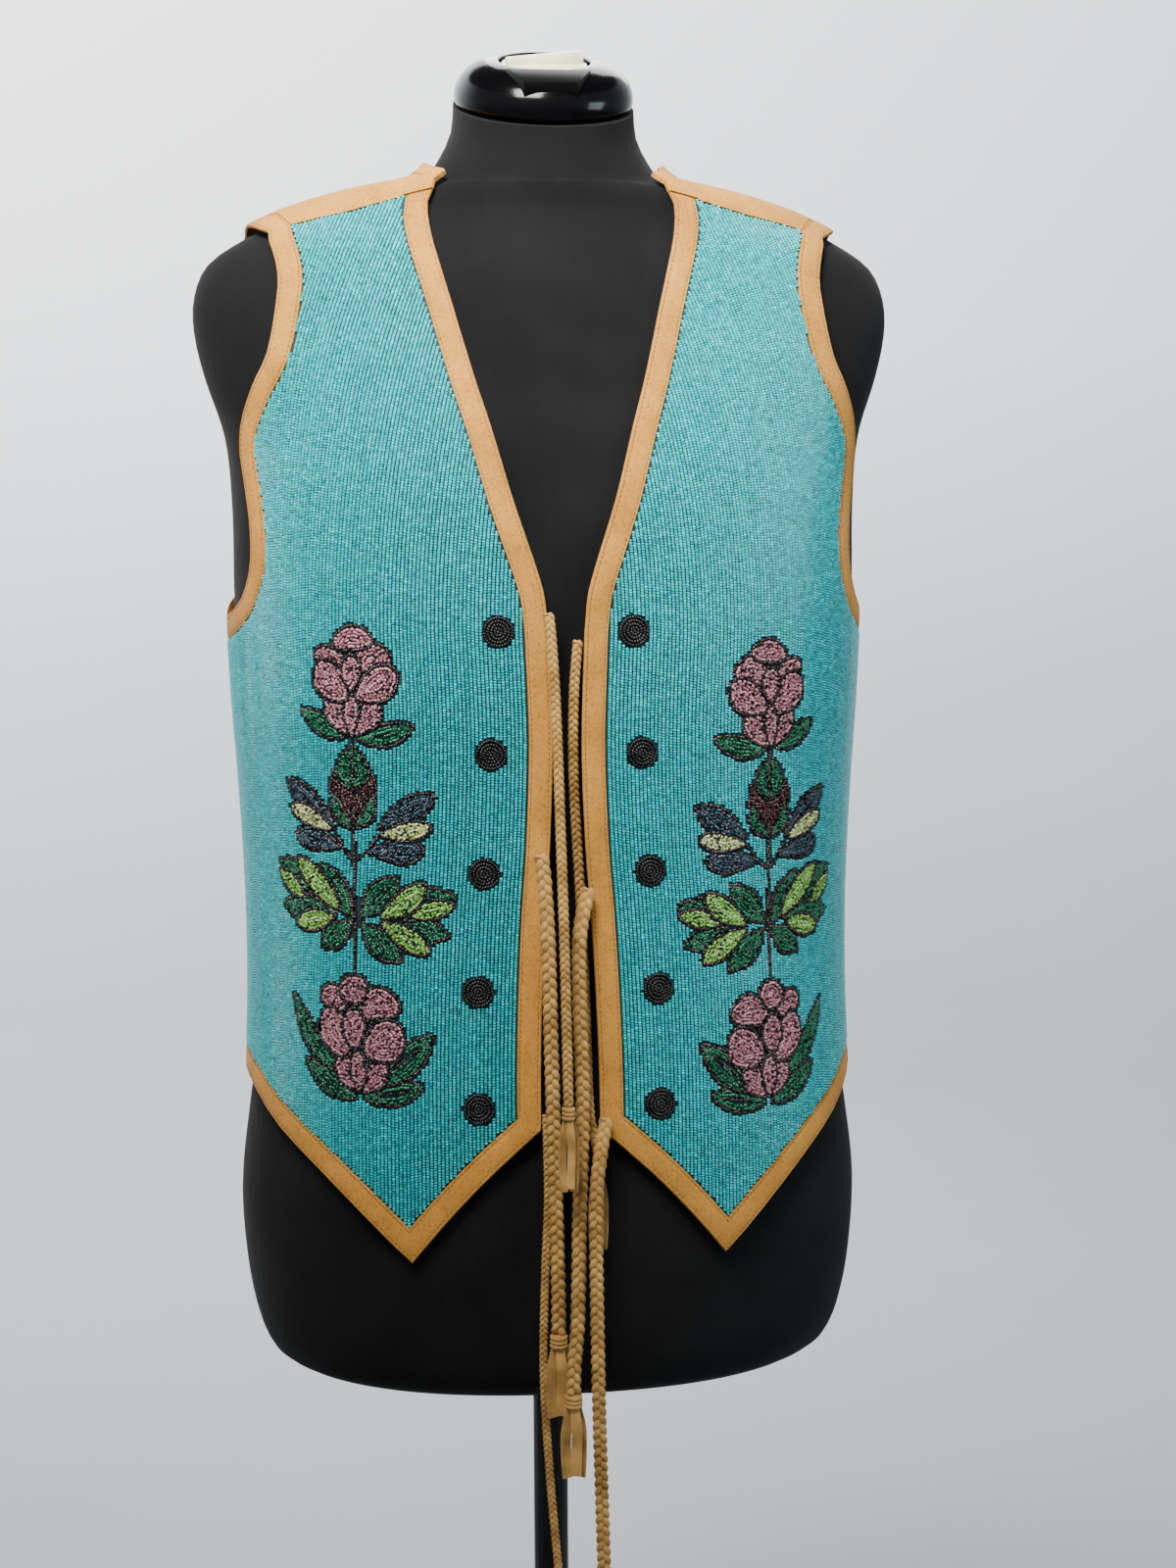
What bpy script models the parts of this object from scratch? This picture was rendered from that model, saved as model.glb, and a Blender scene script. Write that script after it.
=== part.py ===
"""Beaded leather vest worn on a limbless dress form.

Metres, +Z up. The wearer faces -Y, so the wearer's left side is at +X. The origin
is on the floor, under the middle of the stand's round base. Every cloth piece is
a wall laid on one surface, the form's own skin moved out by the cloth's ease, and
a point of that surface is named by its angle round the body and its distance
along the form's side.
"""
import math
from collections import namedtuple

import bmesh
import bpy
from mathutils import Matrix, Vector

# Driving sizes of the stand and form
SEAM = 0.0003
FORM_BOTTOM = 0.720
BASE_RADIUS = 0.205
BASE_HEIGHT = 0.012
POLE_RADIUS = 0.0105
SQUARENESS = 2.25
NECK_TILT = 0.40

# Driving sizes of the vest
BEADED_WALL = 0.0026
LEATHER_WALL = 0.0021
BAND = 0.0140
ROSETTE_RADIUS = 0.0086
ROSETTE_WALL = 0.0018
ROSETTE_SIDES = 14

Section = namedtuple("Section", "height half_width front back centre tilt")
FORM = (
    Section(0.7200, 0.1580, 0.1120, 0.1010, 0.000, 0.0),
    Section(0.7270, 0.1680, 0.1220, 0.1120, 0.000, 0.0),
    Section(0.7440, 0.1755, 0.1285, 0.1190, 0.000, 0.0),
    Section(0.7750, 0.1815, 0.1310, 0.1235, 0.000, 0.0),
    Section(0.8200, 0.1840, 0.1310, 0.1245, 0.000, 0.0),
    Section(0.8660, 0.1790, 0.1275, 0.1190, 0.000, 0.0),
    Section(0.9200, 0.1710, 0.1170, 0.1050, 0.000, 0.0),
    Section(0.9850, 0.1660, 0.1060, 0.0910, 0.000, 0.0),
    Section(1.0500, 0.1710, 0.1100, 0.0920, 0.000, 0.0),
    Section(1.1100, 0.1780, 0.1190, 0.1010, 0.000, 0.0),
    Section(1.1650, 0.1820, 0.1220, 0.1090, 0.000, 0.0),
    Section(1.2200, 0.1825, 0.1180, 0.1130, 0.000, 0.0),
    Section(1.2600, 0.1860, 0.1085, 0.1140, 0.000, 0.0),
    Section(1.2950, 0.1970, 0.0960, 0.1120, 0.000, 0.0),
    Section(1.3200, 0.2025, 0.0855, 0.1070, 0.000, 0.0),
    Section(1.3400, 0.2020, 0.0775, 0.0990, 0.000, 0.0),
    Section(1.3580, 0.1940, 0.0705, 0.0890, 0.000, 0.0),
    Section(1.3725, 0.1730, 0.0650, 0.0780, 0.000, 0.0),
    Section(1.3850, 0.1470, 0.0615, 0.0690, 0.000, 0.0),
    Section(1.3940, 0.1170, 0.0595, 0.0620, -0.002, 0.0),
    Section(1.3995, 0.0880, 0.0575, 0.0560, -0.004, 0.0),
    Section(1.4070, 0.0700, 0.0550, 0.0520, -0.006, 0.1),
    Section(1.4180, 0.0610, 0.0525, 0.0500, -0.008, 0.2),
    Section(1.4330, 0.0535, 0.0500, 0.0500, -0.010, 0.3),
    Section(1.4490, 0.0520, 0.0500, 0.0500, -0.011, NECK_TILT),
)

# How far the inside of the vest stands off the form
Ease = namedtuple("Ease", "height side front back")
EASE = (
    Ease(0.7200, 0.0030, 0.0080, 0.0080),
    Ease(0.8200, 0.0030, 0.0045, 0.0050),
    Ease(0.8660, 0.0022, 0.0060, 0.0060),
    Ease(0.9200, 0.0062, 0.0130, 0.0130),
    Ease(0.9850, 0.0105, 0.0200, 0.0190),
    Ease(1.0500, 0.0080, 0.0150, 0.0150),
    Ease(1.1100, 0.0048, 0.0070, 0.0070),
    Ease(1.1650, 0.0030, 0.0032, 0.0040),
    Ease(1.2200, 0.0026, 0.0024, 0.0040),
    Ease(1.3000, 0.0030, 0.0020, 0.0050),
    Ease(1.3500, 0.0040, 0.0020, 0.0050),
    Ease(1.3750, 0.0046, 0.0022, 0.0044),
    Ease(1.3950, 0.0038, 0.0026, 0.0040),
    Ease(1.4150, 0.0040, 0.0036, 0.0044),
    Ease(1.4500, 0.0040, 0.0040, 0.0050),
)


def chord_lengths(pairs):
    """Running length along a polyline of (x, y) pairs."""
    total = [0.0]
    for a, b in zip(pairs, pairs[1:]):
        total.append(total[-1] + math.dist(a, b))
    return total


def smooth_column(knots, values, at):
    """Value at a place of the smooth curve through values at knots."""
    last = len(knots) - 1
    k = 0
    while k < last - 1 and at > knots[k + 1]:
        k += 1

    def slope(i):
        low, high = max(i - 1, 0), min(i + 1, last)
        return (values[high] - values[low]) / (knots[high] - knots[low])

    span = knots[k + 1] - knots[k]
    t = min(max((at - knots[k]) / span, 0.0), 1.0)
    a, b = values[k], values[k + 1]
    rise, fall = slope(k) * span, slope(k + 1) * span
    return (
        a * (2 * t**3 - 3 * t**2 + 1)
        + rise * (t**3 - 2 * t**2 + t)
        + b * (3 * t**2 - 2 * t**3)
        + fall * (t**3 - t**2)
    )


ALONG = chord_lengths([(row.half_width, row.height) for row in FORM])
FORM_COLUMNS = [list(column) for column in zip(*FORM)]
EASE_COLUMNS = [list(column) for column in zip(*EASE)]


def form_row(along):
    """The form's section at a distance along its side."""
    return Section(*(smooth_column(ALONG, column, along) for column in FORM_COLUMNS))


def along_at(height):
    """Distance along the form's side where the side has this height."""
    low, high = ALONG[0], ALONG[-1]
    for _ in range(40):
        middle = (low + high) / 2
        if smooth_column(ALONG, FORM_COLUMNS[0], middle) < height:
            low = middle
        else:
            high = middle
    return (low + high) / 2


def form_point(angle, along):
    """Point of the form's skin; angle 0 is the +X side, -90 degrees the front."""
    row = form_row(along)
    power = 2 / SQUARENESS
    c, s = math.cos(angle), math.sin(angle)
    depth = row.front if s < 0 else row.back
    x = row.half_width * math.copysign(abs(c) ** power, c)
    y = depth * math.copysign(abs(s) ** power, s)
    return Vector((x, row.centre + y, row.height + row.tilt * y))


def skin_normal(angle, along):
    """Outward normal of the form's skin."""
    turn, step = 0.004, 0.0005
    across = form_point(angle + turn, along) - form_point(angle - turn, along)
    low, high = max(along - step, 0.0), min(along + step, ALONG[-1])
    up = form_point(angle, high) - form_point(angle, low)
    return across.cross(up).normalized()


def ease_at(angle, height):
    """Clear space between the form and the inside of the vest."""
    side, front, back = (
        smooth_column(EASE_COLUMNS[0], EASE_COLUMNS[k], height) for k in (1, 2, 3)
    )
    facing = math.sin(angle) ** 2
    return side * (1 - facing) + (front if math.sin(angle) < 0 else back) * facing


def vest_point(place, out):
    """Point of the vest at (angle, along), moved out from its inner face."""
    angle, along = place
    skin = form_point(angle, along)
    return skin + skin_normal(angle, along) * (ease_at(angle, skin.z) + out)


# The edge lines of one front: section height, degrees from the side to the front
Edge = namedtuple("Edge", "height turn")
FRONT_LOWER = (
    Edge(0.8760, 86.2),
    Edge(0.9100, 86.2),
    Edge(0.9510, 86.5),
    Edge(0.9975, 87.1),
    Edge(1.0340, 87.8),
    Edge(1.0910, 88.3),
    Edge(1.1500, 87.9),
)
FRONT_NECK = (
    Edge(1.1500, 87.9),
    Edge(1.1735, 87.2),
    Edge(1.2266, 82.7),
    Edge(1.2755, 79.2),
    Edge(1.3034, 77.6),
    Edge(1.3334, 75.7),
    Edge(1.3600, 72.6),
    Edge(1.3800, 67.0),
    Edge(1.3930, 60.0),
)
SIDE_NECK = (
    Edge(1.3930, 60.0),
    Edge(1.4035, 44.0),
    Edge(1.4110, 22.0),
    Edge(1.4135, 0.0),
)
HEM_FRONT = (Edge(0.8760, 86.2), Edge(0.8450, 76.5), Edge(0.8030, 64.9))
HEM_SIDE = (
    Edge(0.8030, 64.9),
    Edge(0.8310, 53.7),
    Edge(0.8510, 43.4),
    Edge(0.8670, 32.0),
    Edge(0.8865, 15.3),
    Edge(0.8930, 0.0),
)
ARMHOLE_LOWER = (
    Edge(1.1570, 0.0),
    Edge(1.1595, 10.0),
    Edge(1.1690, 20.0),
    Edge(1.1850, 24.3),
    Edge(1.2060, 24.6),
    Edge(1.2360, 22.6),
    Edge(1.2500, 22.0),
    Edge(1.2650, 24.6),
    Edge(1.2830, 32.0),
    Edge(1.3040, 40.0),
    Edge(1.3370, 43.7),
    Edge(1.3560, 40.5),
    Edge(1.3690, 31.0),
)
ARMHOLE_TIP = (Edge(1.3690, 31.0), Edge(1.3735, 16.0), Edge(1.3750, 0.0))
BEADS_TOP = (Edge(1.3930, 60.0), Edge(1.3812, 49.8), Edge(1.3690, 31.0))
BACK_ARMHOLE = (
    Edge(1.1570, 0.0),
    Edge(1.1600, -9.0),
    Edge(1.1720, -20.0),
    Edge(1.2000, -27.0),
    Edge(1.2500, -29.0),
    Edge(1.3000, -33.0),
    Edge(1.3350, -35.0),
    Edge(1.3600, -27.0),
    Edge(1.3720, -13.0),
    Edge(1.3750, 0.0),
)
BACK_NECK = (
    Edge(1.4135, 0.0),
    Edge(1.4085, -18.0),
    Edge(1.4020, -40.0),
    Edge(1.3965, -65.0),
    Edge(1.3945, -90.0),
)
BACK_HEM = (Edge(0.8930, 0.0), Edge(0.8900, -30.0), Edge(0.8860, -60.0), Edge(0.8850, -90.0))

# How many quads each stretch of edge is divided into
LOWER_ROWS = 9
UPPER_ROWS = 12
STRIP_ROWS = 3
PANEL_COLUMNS = 8
BACK_NECK_COLUMNS = 6

# Rosettes of one front, from the top
ROSETTES = (
    Edge(1.1503, 80.5),
    Edge(1.0855, 79.0),
    Edge(1.0200, 77.4),
    Edge(0.9500, 76.1),
    Edge(0.8875, 76.3),
)


def place_of(edge):
    """(angle, along) of a table row, on the wearer's left."""
    return (-math.radians(edge.turn), along_at(edge.height))


def smooth_places(rows, count):
    """count + 1 places spaced evenly along the smooth line through table rows."""
    places = [place_of(row) for row in rows]
    points = [vest_point(place, 0.0) for place in places]
    knots = chord_lengths(points)
    columns = list(zip(*places))
    fine = [knots[-1] * i / 96 for i in range(97)]
    return evenly([tuple(smooth_column(knots, column, at) for column in columns) for at in fine], count)


def evenly(places, count):
    """count + 1 places at even distances along a polyline of places."""
    run = chord_lengths([vest_point(place, 0.0) for place in places])
    result, k = [], 0
    for i in range(count + 1):
        target = run[-1] * i / count
        while k < len(run) - 2 and run[k + 1] < target:
            k += 1
        share = (target - run[k]) / (run[k + 1] - run[k])
        result.append(tuple(a + (b - a) * share for a, b in zip(places[k], places[k + 1])))
    return result


def surface_frame(place):
    """Point, the two chart directions and the normal of the vest at a place."""
    angle, along = place
    turn, step = 0.002, 0.0004
    point = vest_point(place, 0.0)
    across = (vest_point((angle + turn, along), 0.0) - point) / turn
    up = (vest_point((angle, along + step), 0.0) - point) / step
    return point, across, up, across.cross(up).normalized()


def moved(place, shift):
    """The place that lies a small 3D shift away on the surface."""
    _, across, up, _ = surface_frame(place)
    aa, au, uu = across.dot(across), across.dot(up), up.dot(up)
    sa, su = shift.dot(across), shift.dot(up)
    det = aa * uu - au * au
    return (place[0] + (sa * uu - su * au) / det, place[1] + (su * aa - sa * au) / det)


def inset_loop(loop, widths):
    """A closed loop of places moved inward; widths[i] is for the edge after place i."""
    result = []
    count = len(loop)
    for i, place in enumerate(loop):
        before, after = loop[i - 1], loop[(i + 1) % count]
        point, _, _, normal = surface_frame(place)
        sides = []
        for other, width, sign in ((before, widths[i - 1], -1), (after, widths[i], 1)):
            run = (vest_point(other, 0.0) - point) * sign
            run -= normal * run.dot(normal)
            sides.append((run.cross(normal).normalized(), width))
        (first, w1), (second, w2) = sides
        overlap = first.dot(second)
        if overlap > 0.96:
            middle = (first + second).normalized()
            shift = middle * ((w1 + w2) / 2 / max(middle.dot(first), 0.5))
        else:
            det = 1 - overlap * overlap
            shift = first * ((w1 - overlap * w2) / det) + second * ((w2 - overlap * w1) / det)
        result.append(moved(place, shift))
    return result


def coons(bottom, top, left, right):
    """Grid of places between four edges; rows run from bottom to top."""
    rows, columns = len(left) - 1, len(bottom) - 1
    grid = []
    for j in range(rows + 1):
        v = j / rows
        line = []
        for i in range(columns + 1):
            u = i / columns
            line.append(
                tuple(
                    (1 - v) * bottom[i][k] + v * top[i][k]
                    + (1 - u) * left[j][k] + u * right[j][k]
                    - (1 - u) * (1 - v) * bottom[0][k] - u * (1 - v) * bottom[-1][k]
                    - (1 - u) * v * top[0][k] - u * v * top[-1][k]
                    for k in (0, 1)
                )
            )
        grid.append(line)
    return grid


def trimmed(grid, pull=0.00022):
    """The grid with its outer edges drawn in, to leave the seam between pieces."""

    def nearer(place, other):
        far = (vest_point(place, 0.0) - vest_point(other, 0.0)).length
        share = pull / far
        return tuple(a + (b - a) * share for a, b in zip(place, other))

    rows = [list(line) for line in grid]
    rows[0] = [nearer(a, b) for a, b in zip(grid[0], grid[1])]
    rows[-1] = [nearer(a, b) for a, b in zip(grid[-1], grid[-2])]
    for line in rows:
        line[0], line[-1] = nearer(line[0], line[1]), nearer(line[-1], line[-2])
    return rows


def front_outline():
    """The left front's four edge lines and the same lines inside its bands."""
    front = smooth_places(FRONT_LOWER, LOWER_ROWS)
    front += smooth_places(FRONT_NECK, UPPER_ROWS)[1:]
    top = [place_of(row) for row in BEADS_TOP]
    armhole = smooth_places(ARMHOLE_LOWER, UPPER_ROWS)
    side_low, side_high = place_of(HEM_SIDE[-1]), armhole[0]
    side = [
        tuple(a + (b - a) * i / LOWER_ROWS for a, b in zip(side_low, side_high))
        for i in range(LOWER_ROWS + 1)
    ]
    half = PANEL_COLUMNS // 2
    hem = smooth_places(HEM_FRONT, half) + smooth_places(HEM_SIDE, PANEL_COLUMNS - half)[1:]
    outer = (front, top, armhole, side, hem)
    runs = (
        (front[:-1], BAND),
        (top[:-1], 0.0),
        (armhole[::-1][:-1], BAND),
        (side[::-1][:-1], 0.0),
        (hem[::-1][:-1], BAND),
    )
    loop = [place for run, _ in runs for place in run]
    widths = [width for run, width in runs for _ in run]
    inside = inset_loop(loop, widths)
    pieces, start = [], 0
    for run, _ in runs:
        end = start + len(run)
        pieces.append(inside[start:end] + [inside[end % len(inside)]])
        start = end
    front_in, top_in, armhole_in, side_in, hem_in = pieces
    return outer, (front_in, top_in, armhole_in[::-1], side_in[::-1], hem_in[::-1])


def vest_grids():
    """Every piece of the left half, and the back, as a grid of places."""
    outer, inner = front_outline()
    front, _, armhole, side, hem = outer
    front_in, top_in, armhole_in, side_in, hem_in = inner
    beads_top = evenly(top_in, PANEL_COLUMNS)
    tip_out = smooth_places(ARMHOLE_TIP, STRIP_ROWS)
    tip_in = inset_line(tip_out, BAND, armhole_in[-1])
    side_line = side_in[:-1] + armhole_in
    neck_side = smooth_places(SIDE_NECK, STRIP_ROWS)
    seam = evenly([tip_in[-1], neck_side[-1]], PANEL_COLUMNS + 1)[::-1]
    band_top = [front[-1], front_in[-1]]
    grids = {
        "beaded_front": coons(hem_in, beads_top, front_in, side_line),
        "front_band": [list(pair) for pair in zip(front, front_in)],
        "hem_band": [list(pair) for pair in zip(hem, hem_in)],
        "armhole_band": [
            list(pair)
            for pair in zip(armhole[:-1] + tip_out, armhole_in[:-1] + tip_in)
        ],
        "shoulder_strip": coons(
            band_top[:1] + beads_top, seam, neck_side, tip_in
        ),
    }
    return grids, seam, side_in, tip_in


def inset_line(line, width, first):
    """An open line moved inward by a width, from a fixed first place to the shoulder seam."""
    result = [first]
    for before, place, after in zip(line, line[1:], line[2:] + [line[-1]]):
        _, _, _, normal = surface_frame(place)
        run = vest_point(after, 0.0) - vest_point(before, 0.0)
        run -= normal * run.dot(normal)
        result.append(moved(place, normal.cross(run).normalized() * width))
    result[-1] = (0.0, result[-1][1])
    return result


def back_grid(seam, side_in, tip_in):
    """The whole back, from the left side seam round to the right one."""
    hem = smooth_places(BACK_HEM, (PANEL_COLUMNS + 2) + BACK_NECK_COLUMNS // 2)
    armhole = smooth_places(BACK_ARMHOLE, UPPER_ROWS + STRIP_ROWS)
    side = [place_of(HEM_SIDE[-1])] + side_in + armhole
    shoulder = [armhole[-1]] + seam[::-1]
    neck = smooth_places(BACK_NECK, BACK_NECK_COLUMNS // 2)
    top = shoulder + neck[1:]

    def mirrored(places):
        return [(math.pi - angle, along) for angle, along in places[::-1]]

    bottom_all = hem + mirrored(hem)[1:]
    top_all = top + mirrored(top)[1:]
    right = [(math.pi - angle, along) for angle, along in side]
    return coons(bottom_all, top_all, side, right)


def finish_material(name, colour, roughness, metallic=0.0):
    """A plain material with a colour, a roughness and a metallic value."""
    material = bpy.data.materials.new(name)
    material.use_nodes = True
    shader = material.node_tree.nodes["Principled BSDF"]
    shader.inputs["Base Color"].default_value = (*colour, 1.0)
    shader.inputs["Roughness"].default_value = roughness
    shader.inputs["Metallic"].default_value = metallic
    return material


def add_object(name, mesh_builder, material, crease=40.0):
    """Turn a bmesh into a named object with outward faces and smooth shading."""
    bmesh.ops.recalc_face_normals(mesh_builder, faces=mesh_builder.faces[:])
    mesh = bpy.data.meshes.new(name)
    mesh_builder.to_mesh(mesh)
    mesh_builder.free()
    mesh.shade_smooth()
    mesh.set_sharp_from_angle(angle=math.radians(crease))
    mesh.materials.append(material)
    piece = bpy.data.objects.new(name, mesh)
    bpy.context.scene.collection.objects.link(piece)
    return piece


def cloth_piece(name, grid, wall, material, flip=False):
    """A closed wall of the vest over a grid of places."""
    grid = trimmed(grid)
    builder = bmesh.new()
    layers = []
    for out in (0.0, wall):
        layer = []
        for line in grid:
            points = [vest_point(place, out) for place in line]
            if flip:
                points = [Vector((-p.x, p.y, p.z)) for p in points]
            layer.append([builder.verts.new(p) for p in points])
        layers.append(layer)
    rows, columns = len(grid) - 1, len(grid[0]) - 1
    for layer in layers:
        for j in range(rows):
            for i in range(columns):
                corners = (layer[j][i], layer[j][i + 1], layer[j + 1][i + 1], layer[j + 1][i])
                builder.faces.new(corners)
    inner, outer = layers
    border = [(0, i) for i in range(columns)] + [(j, columns) for j in range(rows)]
    border += [(rows, i) for i in range(columns, 0, -1)] + [(j, 0) for j in range(rows, 0, -1)]
    for (ja, ia), (jb, ib) in zip(border, border[1:] + border[:1]):
        builder.faces.new((inner[ja][ia], inner[jb][ib], outer[jb][ib], outer[ja][ia]))
    bmesh.ops.triangulate(builder, faces=builder.faces[:])
    return add_object(name, builder, material)


def rosette(name, edge, material, flip):
    """A thin round of beadwork lying on the front, made from the front's own points."""
    centre = place_of(edge)
    _, across, up, normal = surface_frame(centre)
    side = across.normalized()
    rise = normal.cross(side)
    builder = bmesh.new()
    rings = []
    low = BEADED_WALL + SEAM
    for radius, out in (
        (ROSETTE_RADIUS * 0.5, low),
        (ROSETTE_RADIUS, low),
        (ROSETTE_RADIUS, low + ROSETTE_WALL * 0.7),
        (ROSETTE_RADIUS * 0.5, low + ROSETTE_WALL),
    ):
        ring = []
        for k in range(ROSETTE_SIDES):
            turn = math.tau * k / ROSETTE_SIDES
            shift = side * (math.cos(turn) * radius) + rise * (math.sin(turn) * radius)
            point = vest_point(moved(centre, shift), out)
            ring.append(builder.verts.new((-point.x if flip else point.x, point.y, point.z)))
        rings.append(ring)
    for a, b in zip(rings, rings[1:]):
        for k in range(ROSETTE_SIDES):
            builder.faces.new((a[k], a[(k + 1) % ROSETTE_SIDES], b[(k + 1) % ROSETTE_SIDES], b[k]))
    for ring, out in ((rings[0], low), (rings[-1], low + ROSETTE_WALL)):
        point = vest_point(centre, out)
        middle = builder.verts.new((-point.x if flip else point.x, point.y, point.z))
        for k in range(ROSETTE_SIDES):
            builder.faces.new((ring[k], ring[(k + 1) % ROSETTE_SIDES], middle))
    return add_object(name, builder, material)


def torso(material):
    """The form's body, from its flat underside to the tilted neck."""
    around, ring_spacing = 34, 0.028
    builder = bmesh.new()
    rings = []
    levels = [0.0]
    for low, high in zip(ALONG, ALONG[1:]):
        parts = math.ceil((high - low) / ring_spacing)
        levels += [low + (high - low) * (i + 1) / parts for i in range(parts)]
    for along in levels:
        rings.append(
            [builder.verts.new(form_point(math.tau * i / around, along)) for i in range(around)]
        )
    for a, b in zip(rings, rings[1:]):
        for i in range(around):
            builder.faces.new((a[i], a[(i + 1) % around], b[(i + 1) % around], b[i]))
    builder.faces.new(rings[0])
    builder.faces.new(rings[-1])
    return add_object("torso", builder, material)


def turned(name, profile, steps, material, place=None):
    """A solid turned round Z from (radius, height) pairs, set at a point or a matrix."""
    builder = bmesh.new()
    line = [builder.verts.new((radius, 0.0, height)) for radius, height in profile]
    edges = [builder.edges.new(pair) for pair in zip(line, line[1:])]
    bmesh.ops.spin(
        builder, geom=line + edges, cent=(0, 0, 0), axis=(0, 0, 1),
        angle=math.tau, steps=steps, use_merge=True,
    )
    bmesh.ops.remove_doubles(builder, verts=builder.verts[:], dist=0.00001)
    piece = add_object(name, builder, material)
    if isinstance(place, Vector):
        piece.location = place
    elif place is not None:
        piece.matrix_world = place
    return piece


# Ties: radius, then hand-chosen points from the vest's edge down to the knot
Tie = namedtuple("Tie", "radius route strips")
TIES = {
    "upper_right": Tie(
        0.0030,
        (
            (-0.0100, -0.1308, 1.1600), (-0.0088, -0.1332, 1.1450), (-0.0076, -0.1370, 1.1200),
            (-0.0066, -0.1410, 1.0850), (-0.0058, -0.1450, 1.0450), (-0.0050, -0.1490, 1.0050),
            (-0.0042, -0.1507, 0.9637), (-0.0036, -0.1510, 0.9300), (-0.0030, -0.1510, 0.8950),
        ),
        3,
    ),
    "upper_left": Tie(
        0.0030,
        (
            (0.0062, -0.1264, 1.1450), (0.0040, -0.1264, 1.1200), (0.0034, -0.1252, 1.0950),
            (0.0038, -0.1225, 1.0720), (0.0050, -0.1200, 1.0480), (0.0070, -0.1190, 1.0150),
            (0.0085, -0.1195, 0.9800), (0.0095, -0.1218, 0.9500), (0.0098, -0.1252, 0.9250),
            (0.0100, -0.1298, 0.9000), (0.0108, -0.1338, 0.8820), (0.0142, -0.1352, 0.8670),
            (0.0146, -0.1354, 0.8580),
        ),
        3,
    ),
    "middle_right": Tie(
        0.0043,
        (
            (-0.0150, -0.1316, 1.0290), (-0.0136, -0.1348, 1.0130), (-0.0124, -0.1396, 0.9835),
            (-0.0115, -0.1407, 0.9350), (-0.0107, -0.1407, 0.9026), (-0.0094, -0.1407, 0.8425),
            (-0.0086, -0.1400, 0.8150), (-0.0080, -0.1386, 0.7874), (-0.0078, -0.1370, 0.7640),
        ),
        4,
    ),
    "middle_left": Tie(
        0.0043,
        (
            (0.0110, -0.1321, 1.0100), (0.0074, -0.1358, 0.9990), (0.0046, -0.1398, 0.9833),
            (0.0042, -0.1407, 0.9617), (0.0054, -0.1407, 0.9185), (0.0060, -0.1407, 0.8967),
            (0.0050, -0.1410, 0.8640), (0.0036, -0.1420, 0.8312), (0.0028, -0.1442, 0.7982),
            (0.0018, -0.1460, 0.7706), (-0.0002, -0.1466, 0.7500), (-0.0008, -0.1466, 0.7330),
        ),
        5,
    ),
    "lower_right": Tie(
        0.0025,
        (
            (-0.0136, -0.1336, 0.8860), (-0.0132, -0.1342, 0.8700), (-0.0129, -0.1345, 0.8400),
            (-0.0148, -0.1345, 0.7968), (-0.0160, -0.1345, 0.7412), (-0.0132, -0.1345, 0.6850),
            (-0.0086, -0.1345, 0.6284), (-0.0070, -0.1345, 0.6120), (-0.0068, -0.1345, 0.6020),
        ),
        3,
    ),
    "lower_left": Tie(
        0.0041,
        (
            (0.0190, -0.1388, 0.8840), (0.0160, -0.1430, 0.8700), (0.0128, -0.1470, 0.8500),
            (0.0120, -0.1478, 0.8273), (0.0125, -0.1478, 0.7723), (0.0134, -0.1478, 0.7169),
            (0.0156, -0.1478, 0.6328), (0.0160, -0.1478, 0.6140), (0.0160, -0.1478, 0.6020),
        ),
        4,
    ),
}
KNOT_GAP = 0.0007
TASSEL_HEAD = 0.0070
TASSEL_STRIP = 0.0400
STRIP_THICKNESS = 0.0011


def tie(name, row, material):
    """A free leather tie: a tube of one radius on a smooth line through its route."""
    knots = chord_lengths(row.route)
    columns = list(zip(*row.route))
    count = max(10, round(knots[-1] / (row.radius * 2 * 2.4)))
    curve = bpy.data.curves.new(name, "CURVE")
    curve.dimensions = "3D"
    curve.bevel_depth = row.radius
    curve.bevel_resolution = 2
    curve.use_fill_caps = True
    spline = curve.splines.new("POLY")
    spline.points.add(count)
    for i, point in enumerate(spline.points):
        at = knots[-1] * i / count
        point.co = (*(smooth_column(knots, column, at) for column in columns), 1.0)
    curve.materials.append(material)
    piece = bpy.data.objects.new(name, curve)
    bpy.context.scene.collection.objects.link(piece)
    return piece


def tassel(name, row, material):
    """Flat leather strips fused at their roots into the knot under a tie."""
    x, y, z = row.route[-1]
    radius = row.radius + 0.0008
    top = z - KNOT_GAP
    low = top - TASSEL_HEAD
    head = turned(
        name,
        (
            (0.0, top), (radius * 0.8, top), (radius, top - 0.0018),
            (radius, low + 0.0018), (radius * 0.85, low), (0.0, low),
        ),
        10, material, Vector((x, y, 0.0)),
    )
    builder = bmesh.new()
    pitch = radius * 1.7 / row.strips
    for k in range(row.strips):
        spread = k - (row.strips - 1) / 2
        length = TASSEL_STRIP * (1.0 - 0.05 * (k % 2))
        corners = []
        for height, drift, half in (
            (low + 0.0025, 1.0, pitch * 0.38),
            (low - length * 0.5, 1.10, pitch * 0.44),
            (low - length, 1.22, pitch * 0.38),
        ):
            middle = spread * pitch * drift
            corners.append(
                [
                    builder.verts.new((x + middle + dx, y + dy, height))
                    for dx, dy in (
                        (-half, -STRIP_THICKNESS / 2), (half, -STRIP_THICKNESS / 2),
                        (half, STRIP_THICKNESS / 2), (-half, STRIP_THICKNESS / 2),
                    )
                ]
            )
        for a, b in zip(corners, corners[1:]):
            for i in range(4):
                builder.faces.new((a[i], a[(i + 1) % 4], b[(i + 1) % 4], b[i]))
        builder.faces.new(corners[0])
        builder.faces.new(corners[-1])
    strips = add_object(name + "_strips", builder, material)
    fuse(head, strips, "UNION")
    return head


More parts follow.
